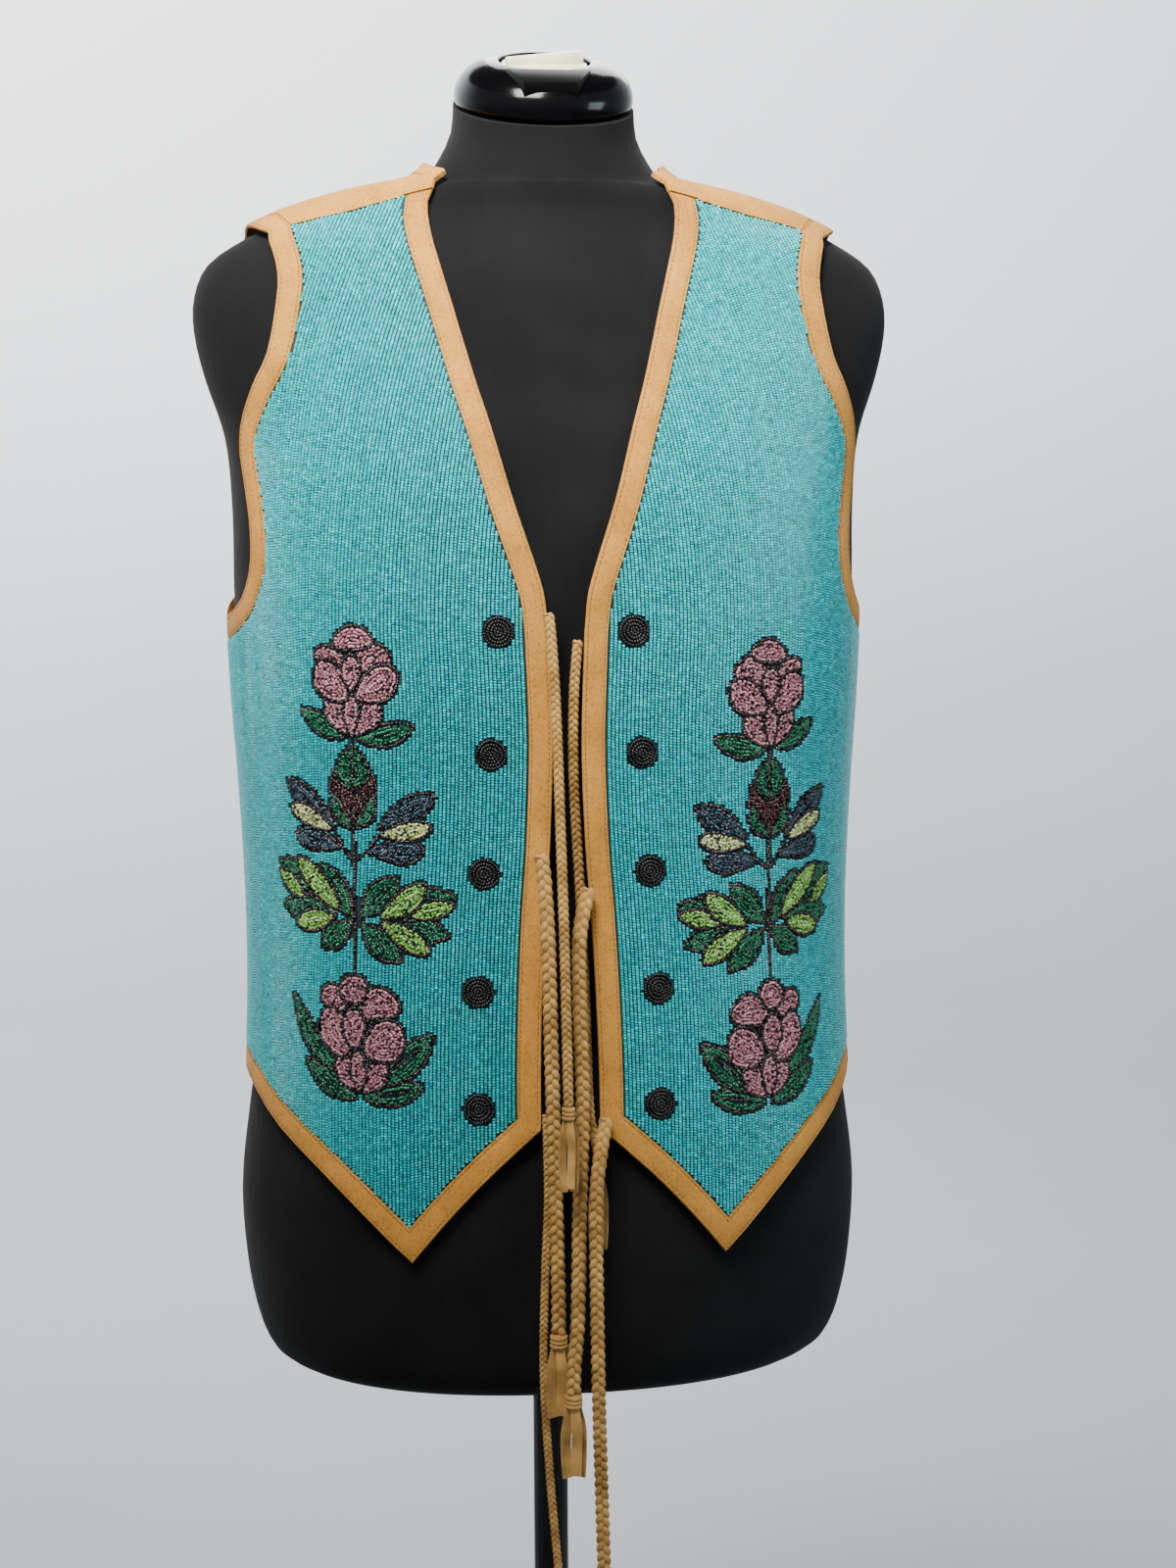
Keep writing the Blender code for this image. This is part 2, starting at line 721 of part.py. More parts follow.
def fuse(piece, cutter, operation):
    """Combine a piece with another solid, which stays as a hidden guide."""
    cutter.hide_render = True
    cutter.display_type = "WIRE"
    join = piece.modifiers.new(operation.lower(), "BOOLEAN")
    join.operation = operation
    join.solver = "EXACT"
    join.object = cutter


def neck_fittings(gloss, cream):
    """The glossy cap in the neck, its round dial with a grip, and the tab before it."""
    top = FORM[-1]
    tilt = math.atan(NECK_TILT)
    seat = Matrix.Translation((0.0, top.centre, top.height)) @ Matrix.Rotation(tilt, 4, "X")
    lift = SEAM
    dome = [
        (0.0, lift), (0.0500, lift), (0.0528, lift + 0.0020), (0.0530, lift + 0.0045),
        (0.0505, lift + 0.0062), (0.0490, lift + 0.0075), (0.0455, lift + 0.0120),
        (0.0400, lift + 0.0155), (0.0330, lift + 0.0178), (0.0260, lift + 0.0188),
        (0.0, lift + 0.0188),
    ]
    turned("neck_cap", dome, 32, gloss, seat)
    floor = lift + 0.0188 + SEAM
    disc = [
        (0.0, floor), (0.0235, floor), (0.0245, floor + 0.0010),
        (0.0245, floor + 0.0030), (0.0235, floor + 0.0040), (0.0, floor + 0.0040),
    ]
    dial = turned("neck_dial", disc, 24, cream, seat)
    grip = box("neck_dial_grip", (0.042, 0.0055, 0.0110), (0.0, 0.0, floor + 0.0085), cream)
    grip.matrix_world = seat @ Matrix.Rotation(math.radians(-9.0), 4, "Z")
    fuse(dial, grip, "UNION")
    builder = bmesh.new()
    rows = []
    for height in (lift + 0.0100, lift + 0.0205):
        rows.append(
            [
                builder.verts.new((dx, dy, height))
                for dx, dy in ((-0.0150, -0.0440), (0.0150, -0.0440), (0.0225, -0.0285), (-0.0225, -0.0285))
            ]
        )
    for i in range(4):
        builder.faces.new((rows[0][i], rows[0][(i + 1) % 4], rows[1][(i + 1) % 4], rows[1][i]))
    builder.faces.new(rows[0])
    builder.faces.new(rows[1])
    tab = add_object("neck_tab", builder, gloss)
    tab.matrix_world = seat
    clear = turned(
        "neck_tab_seat", [(r * 1.006 + SEAM, h + SEAM) if r else (r, h + SEAM) for r, h in dome],
        32, gloss, seat,
    )
    fuse(tab, clear, "DIFFERENCE")


def box(name, size, centre, material):
    """A plain box of a size about a centre."""
    builder = bmesh.new()
    bmesh.ops.create_cube(builder, size=1.0)
    bmesh.ops.scale(builder, vec=size, verts=builder.verts[:])
    bmesh.ops.translate(builder, vec=centre, verts=builder.verts[:])
    return add_object(name, builder, material)


def stand(metal):
    """The weighted round base with its socket, and the pole up to the form."""
    socket = 0.045
    base = [
        (0.0, 0.0), (BASE_RADIUS - 0.003, 0.0), (BASE_RADIUS, 0.003),
        (BASE_RADIUS, BASE_HEIGHT - 0.003), (BASE_RADIUS - 0.004, BASE_HEIGHT),
        (0.026, BASE_HEIGHT + 0.004), (0.022, BASE_HEIGHT + 0.010), (0.021, socket),
        (0.0, socket),
    ]
    turned("base", base, 56, metal)
    pole = [
        (0.0, socket + SEAM), (POLE_RADIUS, socket + SEAM),
        (POLE_RADIUS, FORM_BOTTOM - SEAM), (0.0, FORM_BOTTOM - SEAM),
    ]
    turned("pole", pole, 20, metal)


def main():
    """Build every piece."""
    for old in list(bpy.data.objects):
        bpy.data.objects.remove(old, do_unlink=True)
    jersey = finish_material("jersey", (0.018, 0.018, 0.020), 0.85)
    gloss = finish_material("gloss_black", (0.010, 0.010, 0.011), 0.22)
    cream = finish_material("cream_plastic", (0.70, 0.66, 0.50), 0.40)
    metal = finish_material("black_metal", (0.020, 0.020, 0.022), 0.35, 0.6)
    beads = finish_material("turquoise_beads", (0.06, 0.42, 0.42), 0.25)
    black_beads = finish_material("black_beads", (0.012, 0.012, 0.014), 0.20)
    suede = finish_material("tan_suede", (0.60, 0.36, 0.15), 0.90)
    braid = finish_material("braided_leather", (0.48, 0.32, 0.16), 0.75)

    stand(metal)
    torso(jersey)
    neck_fittings(gloss, cream)

    grids, seam, side_in, tip_in = vest_grids()
    cloth_piece("back", back_grid(seam, side_in, tip_in), LEATHER_WALL, suede)
    for side, flip in (("left", False), ("right", True)):
        cloth_piece(f"{side}_beaded_front", grids["beaded_front"], BEADED_WALL, beads, flip)
        for band in ("front_band", "hem_band", "armhole_band", "shoulder_strip"):
            cloth_piece(f"{side}_{band}", grids[band], LEATHER_WALL, suede, flip)
        for number, edge in enumerate(ROSETTES, 1):
            rosette(f"{side}_rosette_{number}", edge, black_beads, flip)
    for name, row in TIES.items():
        tie(f"tie_{name}", row, braid)
        tassel(f"tassel_{name}", row, braid)


if __name__ == "__main__":
    main()
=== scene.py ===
"""The looks of a beaded leather vest on a limbless dress form.

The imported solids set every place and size. This script lays real seed beads on the
two fronts, trims them with suede, braids the ties and finishes the form and stand.
Metres, +Z up; the wearer faces -Y, so the wearer's left side is at +X.
"""
import logging
import math
from dataclasses import dataclass, field
from enum import Enum
from typing import Callable, NamedTuple, Sequence

import bmesh
import bpy
import numpy as np
from mathutils import Matrix, Vector
from mathutils.kdtree import KDTree


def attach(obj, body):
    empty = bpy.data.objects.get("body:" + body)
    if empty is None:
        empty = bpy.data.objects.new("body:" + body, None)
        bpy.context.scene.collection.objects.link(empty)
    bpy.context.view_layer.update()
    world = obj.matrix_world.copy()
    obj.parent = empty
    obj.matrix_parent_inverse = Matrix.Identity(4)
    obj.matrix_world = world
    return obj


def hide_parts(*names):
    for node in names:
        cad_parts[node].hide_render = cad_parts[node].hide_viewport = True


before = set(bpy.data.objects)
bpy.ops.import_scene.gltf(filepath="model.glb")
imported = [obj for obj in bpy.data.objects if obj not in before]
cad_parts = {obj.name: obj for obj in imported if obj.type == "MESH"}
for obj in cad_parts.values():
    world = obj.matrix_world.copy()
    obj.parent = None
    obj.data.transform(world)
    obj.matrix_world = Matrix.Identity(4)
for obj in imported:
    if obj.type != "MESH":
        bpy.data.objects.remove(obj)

LOG = logging.getLogger("beaded_vest")
Array = np.ndarray
Colour = tuple[float, float, float]
MM = 0.001
FRONT = -math.pi / 2


def linear(red: int, green: int, blue: int) -> Colour:
    """Scene-linear colour of a colour given on the usual 0 to 255 scale."""
    return tuple(
        (c / 255 / 12.92) if c <= 10 else ((c / 255 + 0.055) / 1.055) ** 2.4 for c in (red, green, blue)
    )


class Section(NamedTuple):
    """One level of the dress form: its half width, depths and centre line."""

    height: float
    half_width: float
    front: float
    back: float
    centre: float
    tilt: float


class Ease(NamedTuple):
    """How far the inside of the vest stands off the form at one level."""

    height: float
    side: float
    front: float
    back: float


class Edge(NamedTuple):
    """A point of an edge line: the section's height, and degrees from the side to the front."""

    height: float
    turn: float


class Lobe(NamedTuple):
    """A petal or leaf of the spray, in millimetres from the stem's top joint.

    across runs toward the vest's opening and up along the stem. widest is the share of
    the length where the lobe is widest, and round runs from 0.5, oval, to 1, pointed.
    """

    base_across: float
    base_up: float
    tip_across: float
    tip_up: float
    width: float
    widest: float
    round: float
    bend: float
    kind: "Thread"


class Curve:
    """Smooth curve through the rows of a table."""

    def __init__(self, knots: Sequence[float], rows: Sequence[Sequence[float]]) -> None:
        """Keep the knots and work out the slope at each.

        Args:
            knots: where each row lies.
            rows: the values there, one row for each knot.
        """
        self.knots = np.asarray(knots, float)
        self.rows = np.asarray(rows, float)
        at = np.arange(len(self.knots))
        low, high = np.maximum(at - 1, 0), np.minimum(at + 1, len(at) - 1)
        self.slopes = (self.rows[high] - self.rows[low]) / (self.knots[high] - self.knots[low])[:, None]

    def at(self, where: Array) -> Array:
        """Values at places along the knots, one more axis than the places."""
        where = np.asarray(where, float)
        k = np.clip(np.searchsorted(self.knots, where, side="left") - 1, 0, len(self.knots) - 2)
        span = self.knots[k + 1] - self.knots[k]
        t = np.clip((where - self.knots[k]) / span, 0.0, 1.0)[..., None]
        span = span[..., None]
        return (
            self.rows[k] * (2 * t**3 - 3 * t**2 + 1)
            + self.slopes[k] * span * (t**3 - 2 * t**2 + t)
            + self.rows[k + 1] * (3 * t**2 - 2 * t**3)
            + self.slopes[k + 1] * span * (t**3 - t**2)
        )


def running(points: Array) -> Array:
    """Running length along points."""
    steps = np.linalg.norm(np.diff(points, axis=0), axis=-1)
    return np.concatenate(([0.0], np.cumsum(steps)))


def unit(vectors: Array) -> Array:
    """Vectors of length one."""
    return vectors / np.maximum(np.linalg.norm(vectors, axis=-1, keepdims=True), 1e-12)


@dataclass(frozen=True)
class Skin:
    """The dress form's skin and the vest's inner face over it.

    A place is (angle, along): angle 0 is the +X side and -90 degrees the front, and
    along is the distance up the form's side.
    """

    squareness: float = 2.25
    neck_tilt: float = 0.40
    form: tuple[Section, ...] = (
        Section(0.7200, 0.1580, 0.1120, 0.1010, 0.000, 0.0),
        Section(0.7270, 0.1680, 0.1220, 0.1120, 0.000, 0.0),
        Section(0.7440, 0.1755, 0.1285, 0.1190, 0.000, 0.0),
        Section(0.7750, 0.1815, 0.1310, 0.1235, 0.000, 0.0),
        Section(0.8200, 0.1840, 0.1310, 0.1245, 0.000, 0.0),
        Section(0.8660, 0.1790, 0.1275, 0.1190, 0.000, 0.0),
        Section(0.9200, 0.1710, 0.1170, 0.1050, 0.000, 0.0),
        Section(0.9850, 0.1660, 0.1060, 0.0910, 0.000, 0.0),
        Section(1.0500, 0.1710, 0.1100, 0.0920, 0.000, 0.0),
        Section(1.1100, 0.1780, 0.1190, 0.1010, 0.000, 0.0),
        Section(1.1650, 0.1820, 0.1220, 0.1090, 0.000, 0.0),
        Section(1.2200, 0.1825, 0.1180, 0.1130, 0.000, 0.0),
        Section(1.2600, 0.1860, 0.1085, 0.1140, 0.000, 0.0),
        Section(1.2950, 0.1970, 0.0960, 0.1120, 0.000, 0.0),
        Section(1.3200, 0.2025, 0.0855, 0.1070, 0.000, 0.0),
        Section(1.3400, 0.2020, 0.0775, 0.0990, 0.000, 0.0),
        Section(1.3580, 0.1940, 0.0705, 0.0890, 0.000, 0.0),
        Section(1.3725, 0.1730, 0.0650, 0.0780, 0.000, 0.0),
        Section(1.3850, 0.1470, 0.0615, 0.0690, 0.000, 0.0),
        Section(1.3940, 0.1170, 0.0595, 0.0620, -0.002, 0.0),
        Section(1.3995, 0.0880, 0.0575, 0.0560, -0.004, 0.0),
        Section(1.4070, 0.0700, 0.0550, 0.0520, -0.006, 0.1),
        Section(1.4180, 0.0610, 0.0525, 0.0500, -0.008, 0.2),
        Section(1.4330, 0.0535, 0.0500, 0.0500, -0.010, 0.3),
        Section(1.4490, 0.0520, 0.0500, 0.0500, -0.011, 0.4),
    )
    ease: tuple[Ease, ...] = (
        Ease(0.7200, 0.0030, 0.0080, 0.0080),
        Ease(0.8200, 0.0030, 0.0045, 0.0050),
        Ease(0.8660, 0.0022, 0.0060, 0.0060),
        Ease(0.9200, 0.0062, 0.0130, 0.0130),
        Ease(0.9850, 0.0105, 0.0200, 0.0190),
        Ease(1.0500, 0.0080, 0.0150, 0.0150),
        Ease(1.1100, 0.0048, 0.0070, 0.0070),
        Ease(1.1650, 0.0030, 0.0032, 0.0040),
        Ease(1.2200, 0.0026, 0.0024, 0.0040),
        Ease(1.3000, 0.0030, 0.0020, 0.0050),
        Ease(1.3500, 0.0040, 0.0020, 0.0050),
        Ease(1.3750, 0.0046, 0.0022, 0.0044),
        Ease(1.3950, 0.0038, 0.0026, 0.0040),
        Ease(1.4150, 0.0040, 0.0036, 0.0044),
        Ease(1.4500, 0.0040, 0.0040, 0.0050),
    )

    @property
    def levels(self) -> Array:
        """Distance up the form's side at each section."""
        return running(np.array([(row.half_width, row.height) for row in self.form]))

    @property
    def sections(self) -> Curve:
        """The form's sections as one smooth curve."""
        return Curve(self.levels, self.form)

    def along_at(self, height: Array) -> Array:
        """Distance up the form's side where the side has a height."""
        levels = self.levels
        fine = np.linspace(0.0, levels[-1], 4001)
        return np.interp(height, self.sections.at(fine)[:, 0], fine)

    def bare(self, angle: Array, along: Array) -> Array:
        """Points of the form's skin."""
        row = self.sections.at(along)
        power = 2 / self.squareness
        c, s = np.cos(angle), np.sin(angle)
        depth = np.where(s < 0, row[..., 2], row[..., 3])
        x = row[..., 1] * np.copysign(np.abs(c) ** power, c)
        y = depth * np.copysign(np.abs(s) ** power, s)
        return np.stack((x, row[..., 4] + y, row[..., 0] + row[..., 5] * y), axis=-1)

    def outward(self, angle: Array, along: Array) -> Array:
        """Outward normals of the form's skin."""
        turn, step = 0.004, 0.0005
        across = self.bare(angle + turn, along) - self.bare(angle - turn, along)
        low, high = np.maximum(along - step, 0.0), np.minimum(along + step, self.levels[-1])
        return unit(np.cross(across, self.bare(angle, high) - self.bare(angle, low)))

    def cloth(self, angle: Array, along: Array, out: Array | float) -> Array:
        """Points of the vest, moved out from its inner face.

        Args:
            angle: angles round the body.
            along: distances up the form's side.
            out: distance out from the vest's inner face.

        Returns:
            The points, one more axis than the angles.
        """
        angle, along = np.broadcast_arrays(np.asarray(angle, float), np.asarray(along, float))
        skin = self.bare(angle, along)
        ease = Curve([row.height for row in self.ease], [row[1:] for row in self.ease]).at(skin[..., 2])
        facing = np.sin(angle) ** 2
        toward = np.where(np.sin(angle) < 0, ease[..., 1], ease[..., 2])
        lift = ease[..., 0] * (1 - facing) + toward * facing + out
        return skin + self.outward(angle, along) * lift[..., None]


@dataclass(frozen=True)
class Cut:
    """The edge lines of the left half, as places on the skin."""

    skin: Skin
    band: float = 0.0140
    front_lower: tuple[Edge, ...] = (
        Edge(0.8760, 86.2), Edge(0.9100, 86.2), Edge(0.9510, 86.5), Edge(0.9975, 87.1),
        Edge(1.0340, 87.8), Edge(1.0910, 88.3), Edge(1.1500, 87.9),
    )
    front_neck: tuple[Edge, ...] = (
        Edge(1.1500, 87.9), Edge(1.1735, 87.2), Edge(1.2266, 82.7), Edge(1.2755, 79.2),
        Edge(1.3034, 77.6), Edge(1.3334, 75.7), Edge(1.3600, 72.6), Edge(1.3800, 67.0),
        Edge(1.3930, 60.0),
    )
    side_neck: tuple[Edge, ...] = (
        Edge(1.3930, 60.0), Edge(1.4035, 44.0), Edge(1.4110, 22.0), Edge(1.4135, 0.0),
    )
    hem_front: tuple[Edge, ...] = (Edge(0.8760, 86.2), Edge(0.8450, 76.5), Edge(0.8030, 64.9))
    hem_side: tuple[Edge, ...] = (
        Edge(0.8030, 64.9), Edge(0.8310, 53.7), Edge(0.8510, 43.4), Edge(0.8670, 32.0),
        Edge(0.8865, 15.3), Edge(0.8930, 0.0),
    )
    armhole: tuple[Edge, ...] = (
        Edge(1.1570, 0.0), Edge(1.1595, 10.0), Edge(1.1690, 20.0), Edge(1.1850, 24.3),
        Edge(1.2060, 24.6), Edge(1.2360, 22.6), Edge(1.2500, 22.0), Edge(1.2650, 24.6),
        Edge(1.2830, 32.0), Edge(1.3040, 40.0), Edge(1.3370, 43.7), Edge(1.3560, 40.5),
        Edge(1.3690, 31.0),
    )
    tip: tuple[Edge, ...] = (Edge(1.3690, 31.0), Edge(1.3735, 16.0), Edge(1.3750, 0.0))
    beads_top: tuple[Edge, ...] = (Edge(1.3930, 60.0), Edge(1.3812, 49.8), Edge(1.3690, 31.0))
    back_armhole: tuple[Edge, ...] = (
        Edge(1.1570, 0.0), Edge(1.1600, -9.0), Edge(1.1720, -20.0), Edge(1.2000, -27.0),
        Edge(1.2500, -29.0), Edge(1.3000, -33.0), Edge(1.3350, -35.0), Edge(1.3600, -27.0),
        Edge(1.3720, -13.0), Edge(1.3750, 0.0),
    )
    back_neck: tuple[Edge, ...] = (
        Edge(1.4135, 0.0), Edge(1.4085, -18.0), Edge(1.4020, -40.0), Edge(1.3965, -65.0),
        Edge(1.3945, -90.0),
    )
    back_hem: tuple[Edge, ...] = (
        Edge(0.8930, 0.0), Edge(0.8900, -30.0), Edge(0.8860, -60.0), Edge(0.8850, -90.0),
    )

    def places(self, edges: Sequence[Edge]) -> Array:
        """Places (angle, along) of table rows."""
        heights = np.array([edge.height for edge in edges])
        turns = np.array([edge.turn for edge in edges])
        return np.stack((-np.radians(turns), self.skin.along_at(heights)), axis=-1)

    def evenly(self, places: Array, count: int) -> Array:
        """count + 1 places at even distances along a line of places."""
        run = running(self.skin.cloth(places[:, 0], places[:, 1], 0.0))
        at = np.linspace(0.0, run[-1], count + 1)
        return np.stack([np.interp(at, run, places[:, k]) for k in (0, 1)], axis=-1)

    def line(self, edges: Sequence[Edge], count: int) -> Array:
        """count + 1 places spaced evenly along the smooth line through table rows."""
        rows = self.places(edges)
        knots = running(self.skin.cloth(rows[:, 0], rows[:, 1], 0.0))
        return self.evenly(Curve(knots, rows).at(np.linspace(0.0, knots[-1], 97)), count)

    def moved(self, places: Array, shift: Array) -> Array:
        """The places that lie small 3D shifts away on the surface."""
        turn, step = 0.002, 0.0004
        angle, along = places[..., 0], places[..., 1]
        point = self.skin.cloth(angle, along, 0.0)
        across = (self.skin.cloth(angle + turn, along, 0.0) - point) / turn
        up = (self.skin.cloth(angle, along + step, 0.0) - point) / step
        aa, au, uu = (across * across).sum(-1), (across * up).sum(-1), (up * up).sum(-1)
        sa, su = (shift * across).sum(-1), (shift * up).sum(-1)
        det = aa * uu - au * au
        return np.stack((angle + (sa * uu - su * au) / det, along + (su * aa - sa * au) / det), axis=-1)

    def normals(self, places: Array) -> Array:
        """Outward normals of the vest at places."""
        turn, step = 0.002, 0.0004
        angle, along = places[..., 0], places[..., 1]
        point = self.skin.cloth(angle, along, 0.0)
        across = self.skin.cloth(angle + turn, along, 0.0) - point
        return unit(np.cross(across, self.skin.cloth(angle, along + step, 0.0) - point))

    def inset(self, loop: Array, widths: Array) -> Array:
        """A closed loop moved inward; widths[i] is for the edge after place i."""
        points = self.skin.cloth(loop[:, 0], loop[:, 1], 0.0)
        normals = self.normals(loop)
        sides = []
        for run in (points - np.roll(points, 1, axis=0), np.roll(points, -1, axis=0) - points):
            run = run - normals * (run * normals).sum(-1, keepdims=True)
            sides.append(unit(np.cross(run, normals)))
        first, second = sides
        w1, w2 = np.roll(widths, 1), widths
        overlap = (first * second).sum(-1)
        middle = unit(first + second)
        smooth = middle * ((w1 + w2) / 2 / np.maximum((middle * first).sum(-1), 0.5))[:, None]
        det = np.maximum(1 - overlap**2, 1e-6)
        corner = first * ((w1 - overlap * w2) / det)[:, None] + second * ((w2 - overlap * w1) / det)[:, None]
        return self.moved(loop, np.where((overlap > 0.96)[:, None], smooth, corner))

    def outline(self, fine: int, edge: float, side: float) -> tuple[list[Array], list[Array]]:
        """The left front's five edge lines, and the same lines moved inward.

        Args:
            fine: how many times finer than the solids' own edges.
            edge: distance inward along the front, armhole and hem.
            side: distance inward along the side seam and the top.

        Returns:
            front, top, armhole, side and hem, outer ones and then inner ones, each
            running upward, or from the opening to the side.
        """
        lower, upper, half = 9 * fine, 12 * fine, 4 * fine
        front = np.vstack((self.line(self.front_lower, lower), self.line(self.front_neck, upper)[1:]))
        top = self.evenly(self.places(self.beads_top), 2 * fine)
        armhole = self.line(self.armhole, upper)
        share = np.linspace(0.0, 1.0, lower + 1)[:, None]
        seam = self.places(self.hem_side[-1:]) * (1 - share) + armhole[:1] * share
        hem = np.vstack((self.line(self.hem_front, half), self.line(self.hem_side, half)[1:]))
        runs = ((front, edge), (top, side), (armhole[::-1], edge), (seam[::-1], side), (hem[::-1], edge))
        loop = np.vstack([run[:-1] for run, _ in runs])
        widths = np.concatenate([np.full(len(run) - 1, width) for run, width in runs])
        inside = self.inset(loop, widths)
        pieces, start = [], 0
        for run, _ in runs:
            end = start + len(run) - 1
            pieces.append(np.vstack((inside[start:end], inside[end % len(inside)])))
            start = end
        inner = [pieces[0], pieces[1], pieces[2][::-1], pieces[3][::-1], pieces[4][::-1]]
        return [front, top, armhole, seam, hem], inner

    def inset_open(self, line: Array, width: float, first: Array, last: float = 0.0) -> Array:
        """An open line moved by a width to its own left, between fixed ends.

        Args:
            line: places along the line.
            width: distance to the left, or to the right if it is negative.
            first: the first place of the moved line.
            last: the angle at which the moved line ends.

        Returns:
            The moved line.
        """
        points = self.skin.cloth(line[:, 0], line[:, 1], 0.0)
        after = np.vstack((points[1:], points[-1:]))
        before = np.vstack((points[:1], points[:-1]))
        normals = self.normals(line)
        run = after - before
        run -= normals * (run * normals).sum(-1, keepdims=True)
        result = self.moved(line, unit(np.cross(normals, run)) * width)
        result[0] = first
        result[-1, 0] = last
        return result


def between(bottom: Array, top: Array, left: Array, right: Array) -> Array:
    """Grid of places between four edges; rows run from bottom to top."""
    v = np.linspace(0.0, 1.0, len(left))[:, None, None]
    u = np.linspace(0.0, 1.0, len(bottom))[None, :, None]
    return (
        (1 - v) * bottom[None] + v * top[None] + (1 - u) * left[:, None] + u * right[:, None]
        - (1 - u) * (1 - v) * bottom[0] - u * (1 - v) * bottom[-1] - (1 - u) * v * top[0] - u * v * top[-1]
    )


def smooth_line(corners: Sequence[Sequence[float]]) -> Array:
    """Forty points along the smooth line through corners."""
    knots = running(np.array(corners))
    return Curve(knots, corners).at(np.linspace(0.0, knots[-1], 40))


def tree_of(points: Array) -> KDTree:
    """A search tree of points."""
    tree = KDTree(len(points))
    for k, point in enumerate(points):
        tree.insert(point, k)
    tree.balance()
    return tree


def inside(places: Array, loop: Array) -> Array:
    """True for each place that lies within a closed loop of places."""
    x, y = places[:, 0], places[:, 1]
    result = np.zeros(len(places), bool)
    for (ax, ay), (bx, by) in zip(loop, np.roll(loop, -1, axis=0)):
        crosses = (ay > y) != (by > y)
        if abs(by - ay) > 1e-12:
            result ^= crosses & (x < (bx - ax) * (y - ay) / (by - ay) + ax)
    return result


class Chart:
    """The left front laid flat: distance from the centre line, and distance up the side."""

    def __init__(self, skin: Skin, low: float, high: float) -> None:
        """Measure the front between two section heights."""
        self.skin = skin
        self.low, self.high = (float(skin.along_at(height)) for height in (low, high))
        self.rows = np.linspace(self.low, self.high, 420)
        angles = np.linspace(FRONT - 0.12, 0.06, 300)
        points = skin.cloth(angles[None, :], self.rows[:, None], 0.0)
        steps = np.linalg.norm(np.diff(points, axis=1), axis=-1)
        run = np.concatenate((np.zeros((len(self.rows), 1)), np.cumsum(steps, axis=1)), axis=1)
        self.reach = 0.34
        self.grid = np.linspace(-0.02, self.reach, 500)
        middle = [np.interp(FRONT, angles, line) for line in run]
        self.angles = np.array([np.interp(self.grid, line - zero, angles) for line, zero in zip(run, middle)])

    def angle(self, across: Array, along: Array) -> Array:
        """Angle round the body at a distance from the centre line."""
        row = np.clip((along - self.low) / (self.high - self.low), 0, 1) * (len(self.rows) - 1.001)
        column = np.clip((across - self.grid[0]) / (self.reach - self.grid[0]), 0, 1)
        column = column * (len(self.grid) - 1.001)
        i, j = row.astype(int), column.astype(int)
        u, v = row - i, column - j
        a = self.angles
        return (
            a[i, j] * (1 - u) * (1 - v) + a[i + 1, j] * u * (1 - v)
            + a[i, j + 1] * (1 - u) * v + a[i + 1, j + 1] * u * v
        )

    def across(self, turn: float, height: float) -> float:
        """Distance from the centre line of an edge row."""
        along = float(self.skin.along_at(height))
        line = self.angles[int((along - self.low) / (self.high - self.low) * (len(self.rows) - 1))]
        return float(np.interp(-math.radians(turn), line, self.grid))


class Thread(Enum):
    """What a row of spray beads shows."""

    PETAL = "petal"
    LEAF = "leaf"
    YOUNG_LEAF = "young leaf"
    CREAM = "cream"
    SLATE = "slate"
    BUD = "bud"
    STEM = "stem"


@dataclass(frozen=True)
class BeadColours:
    """Colours of the strung beads, outermost row of a lobe first."""

    ground: Colour = linear(0, 186, 192)
    outline: Colour = linear(40, 12, 14)
    black: Colour = linear(4, 4, 5)
    rows: dict[Thread, tuple[Colour, ...]] = field(
        default_factory=lambda: {
            Thread.PETAL: (linear(186, 130, 138), linear(158, 98, 108), linear(172, 112, 122)),
            Thread.LEAF: (linear(4, 92, 58), linear(6, 106, 68), linear(3, 78, 50)),
            Thread.YOUNG_LEAF: (linear(132, 184, 84), linear(106, 164, 58), linear(150, 196, 108)),
            Thread.CREAM: (linear(196, 206, 140), linear(178, 190, 116), linear(202, 212, 152)),
            Thread.SLATE: (linear(28, 48, 62), linear(50, 76, 92), linear(24, 42, 54)),
            Thread.BUD: (linear(62, 22, 22), linear(78, 28, 26), linear(54, 18, 20)),
            Thread.STEM: (linear(44, 18, 20),),
        }
    )


def new_object(name: str, mesh: bpy.types.Mesh, material: bpy.types.Material) -> bpy.types.Object:
    """Link a mesh as a named piece with one material."""
    mesh.materials.append(material)
    piece = bpy.data.objects.new(name, mesh)
    bpy.context.scene.collection.objects.link(piece)
    return piece


def finished(
    name: str, builder: bmesh.types.BMesh, material: bpy.types.Material, crease: float = 50.0, outward: bool = True
) -> bpy.types.Object:
    """Turn a bmesh into a smooth-shaded piece.

    Args:
        name: the piece's name.
        builder: the bmesh, which is freed.
        material: its finish.
        crease: edges sharper than this many degrees stay sharp.
        outward: turn the faces of a closed shape outward.

    Returns:
        The new object.
    """
    if outward:
        bmesh.ops.recalc_face_normals(builder, faces=builder.faces[:])
    mesh = bpy.data.meshes.new(name)
    builder.to_mesh(mesh)
    builder.free()
    mesh.shade_smooth()
    mesh.set_sharp_from_angle(angle=math.radians(crease))
    return new_object(name, mesh, material)


def mirrored(points: Array, flip: bool) -> Array:
    """Points on the wearer's right in place of the left, if flip is set."""
    return points * np.array((-1.0, 1.0, 1.0)) if flip else points


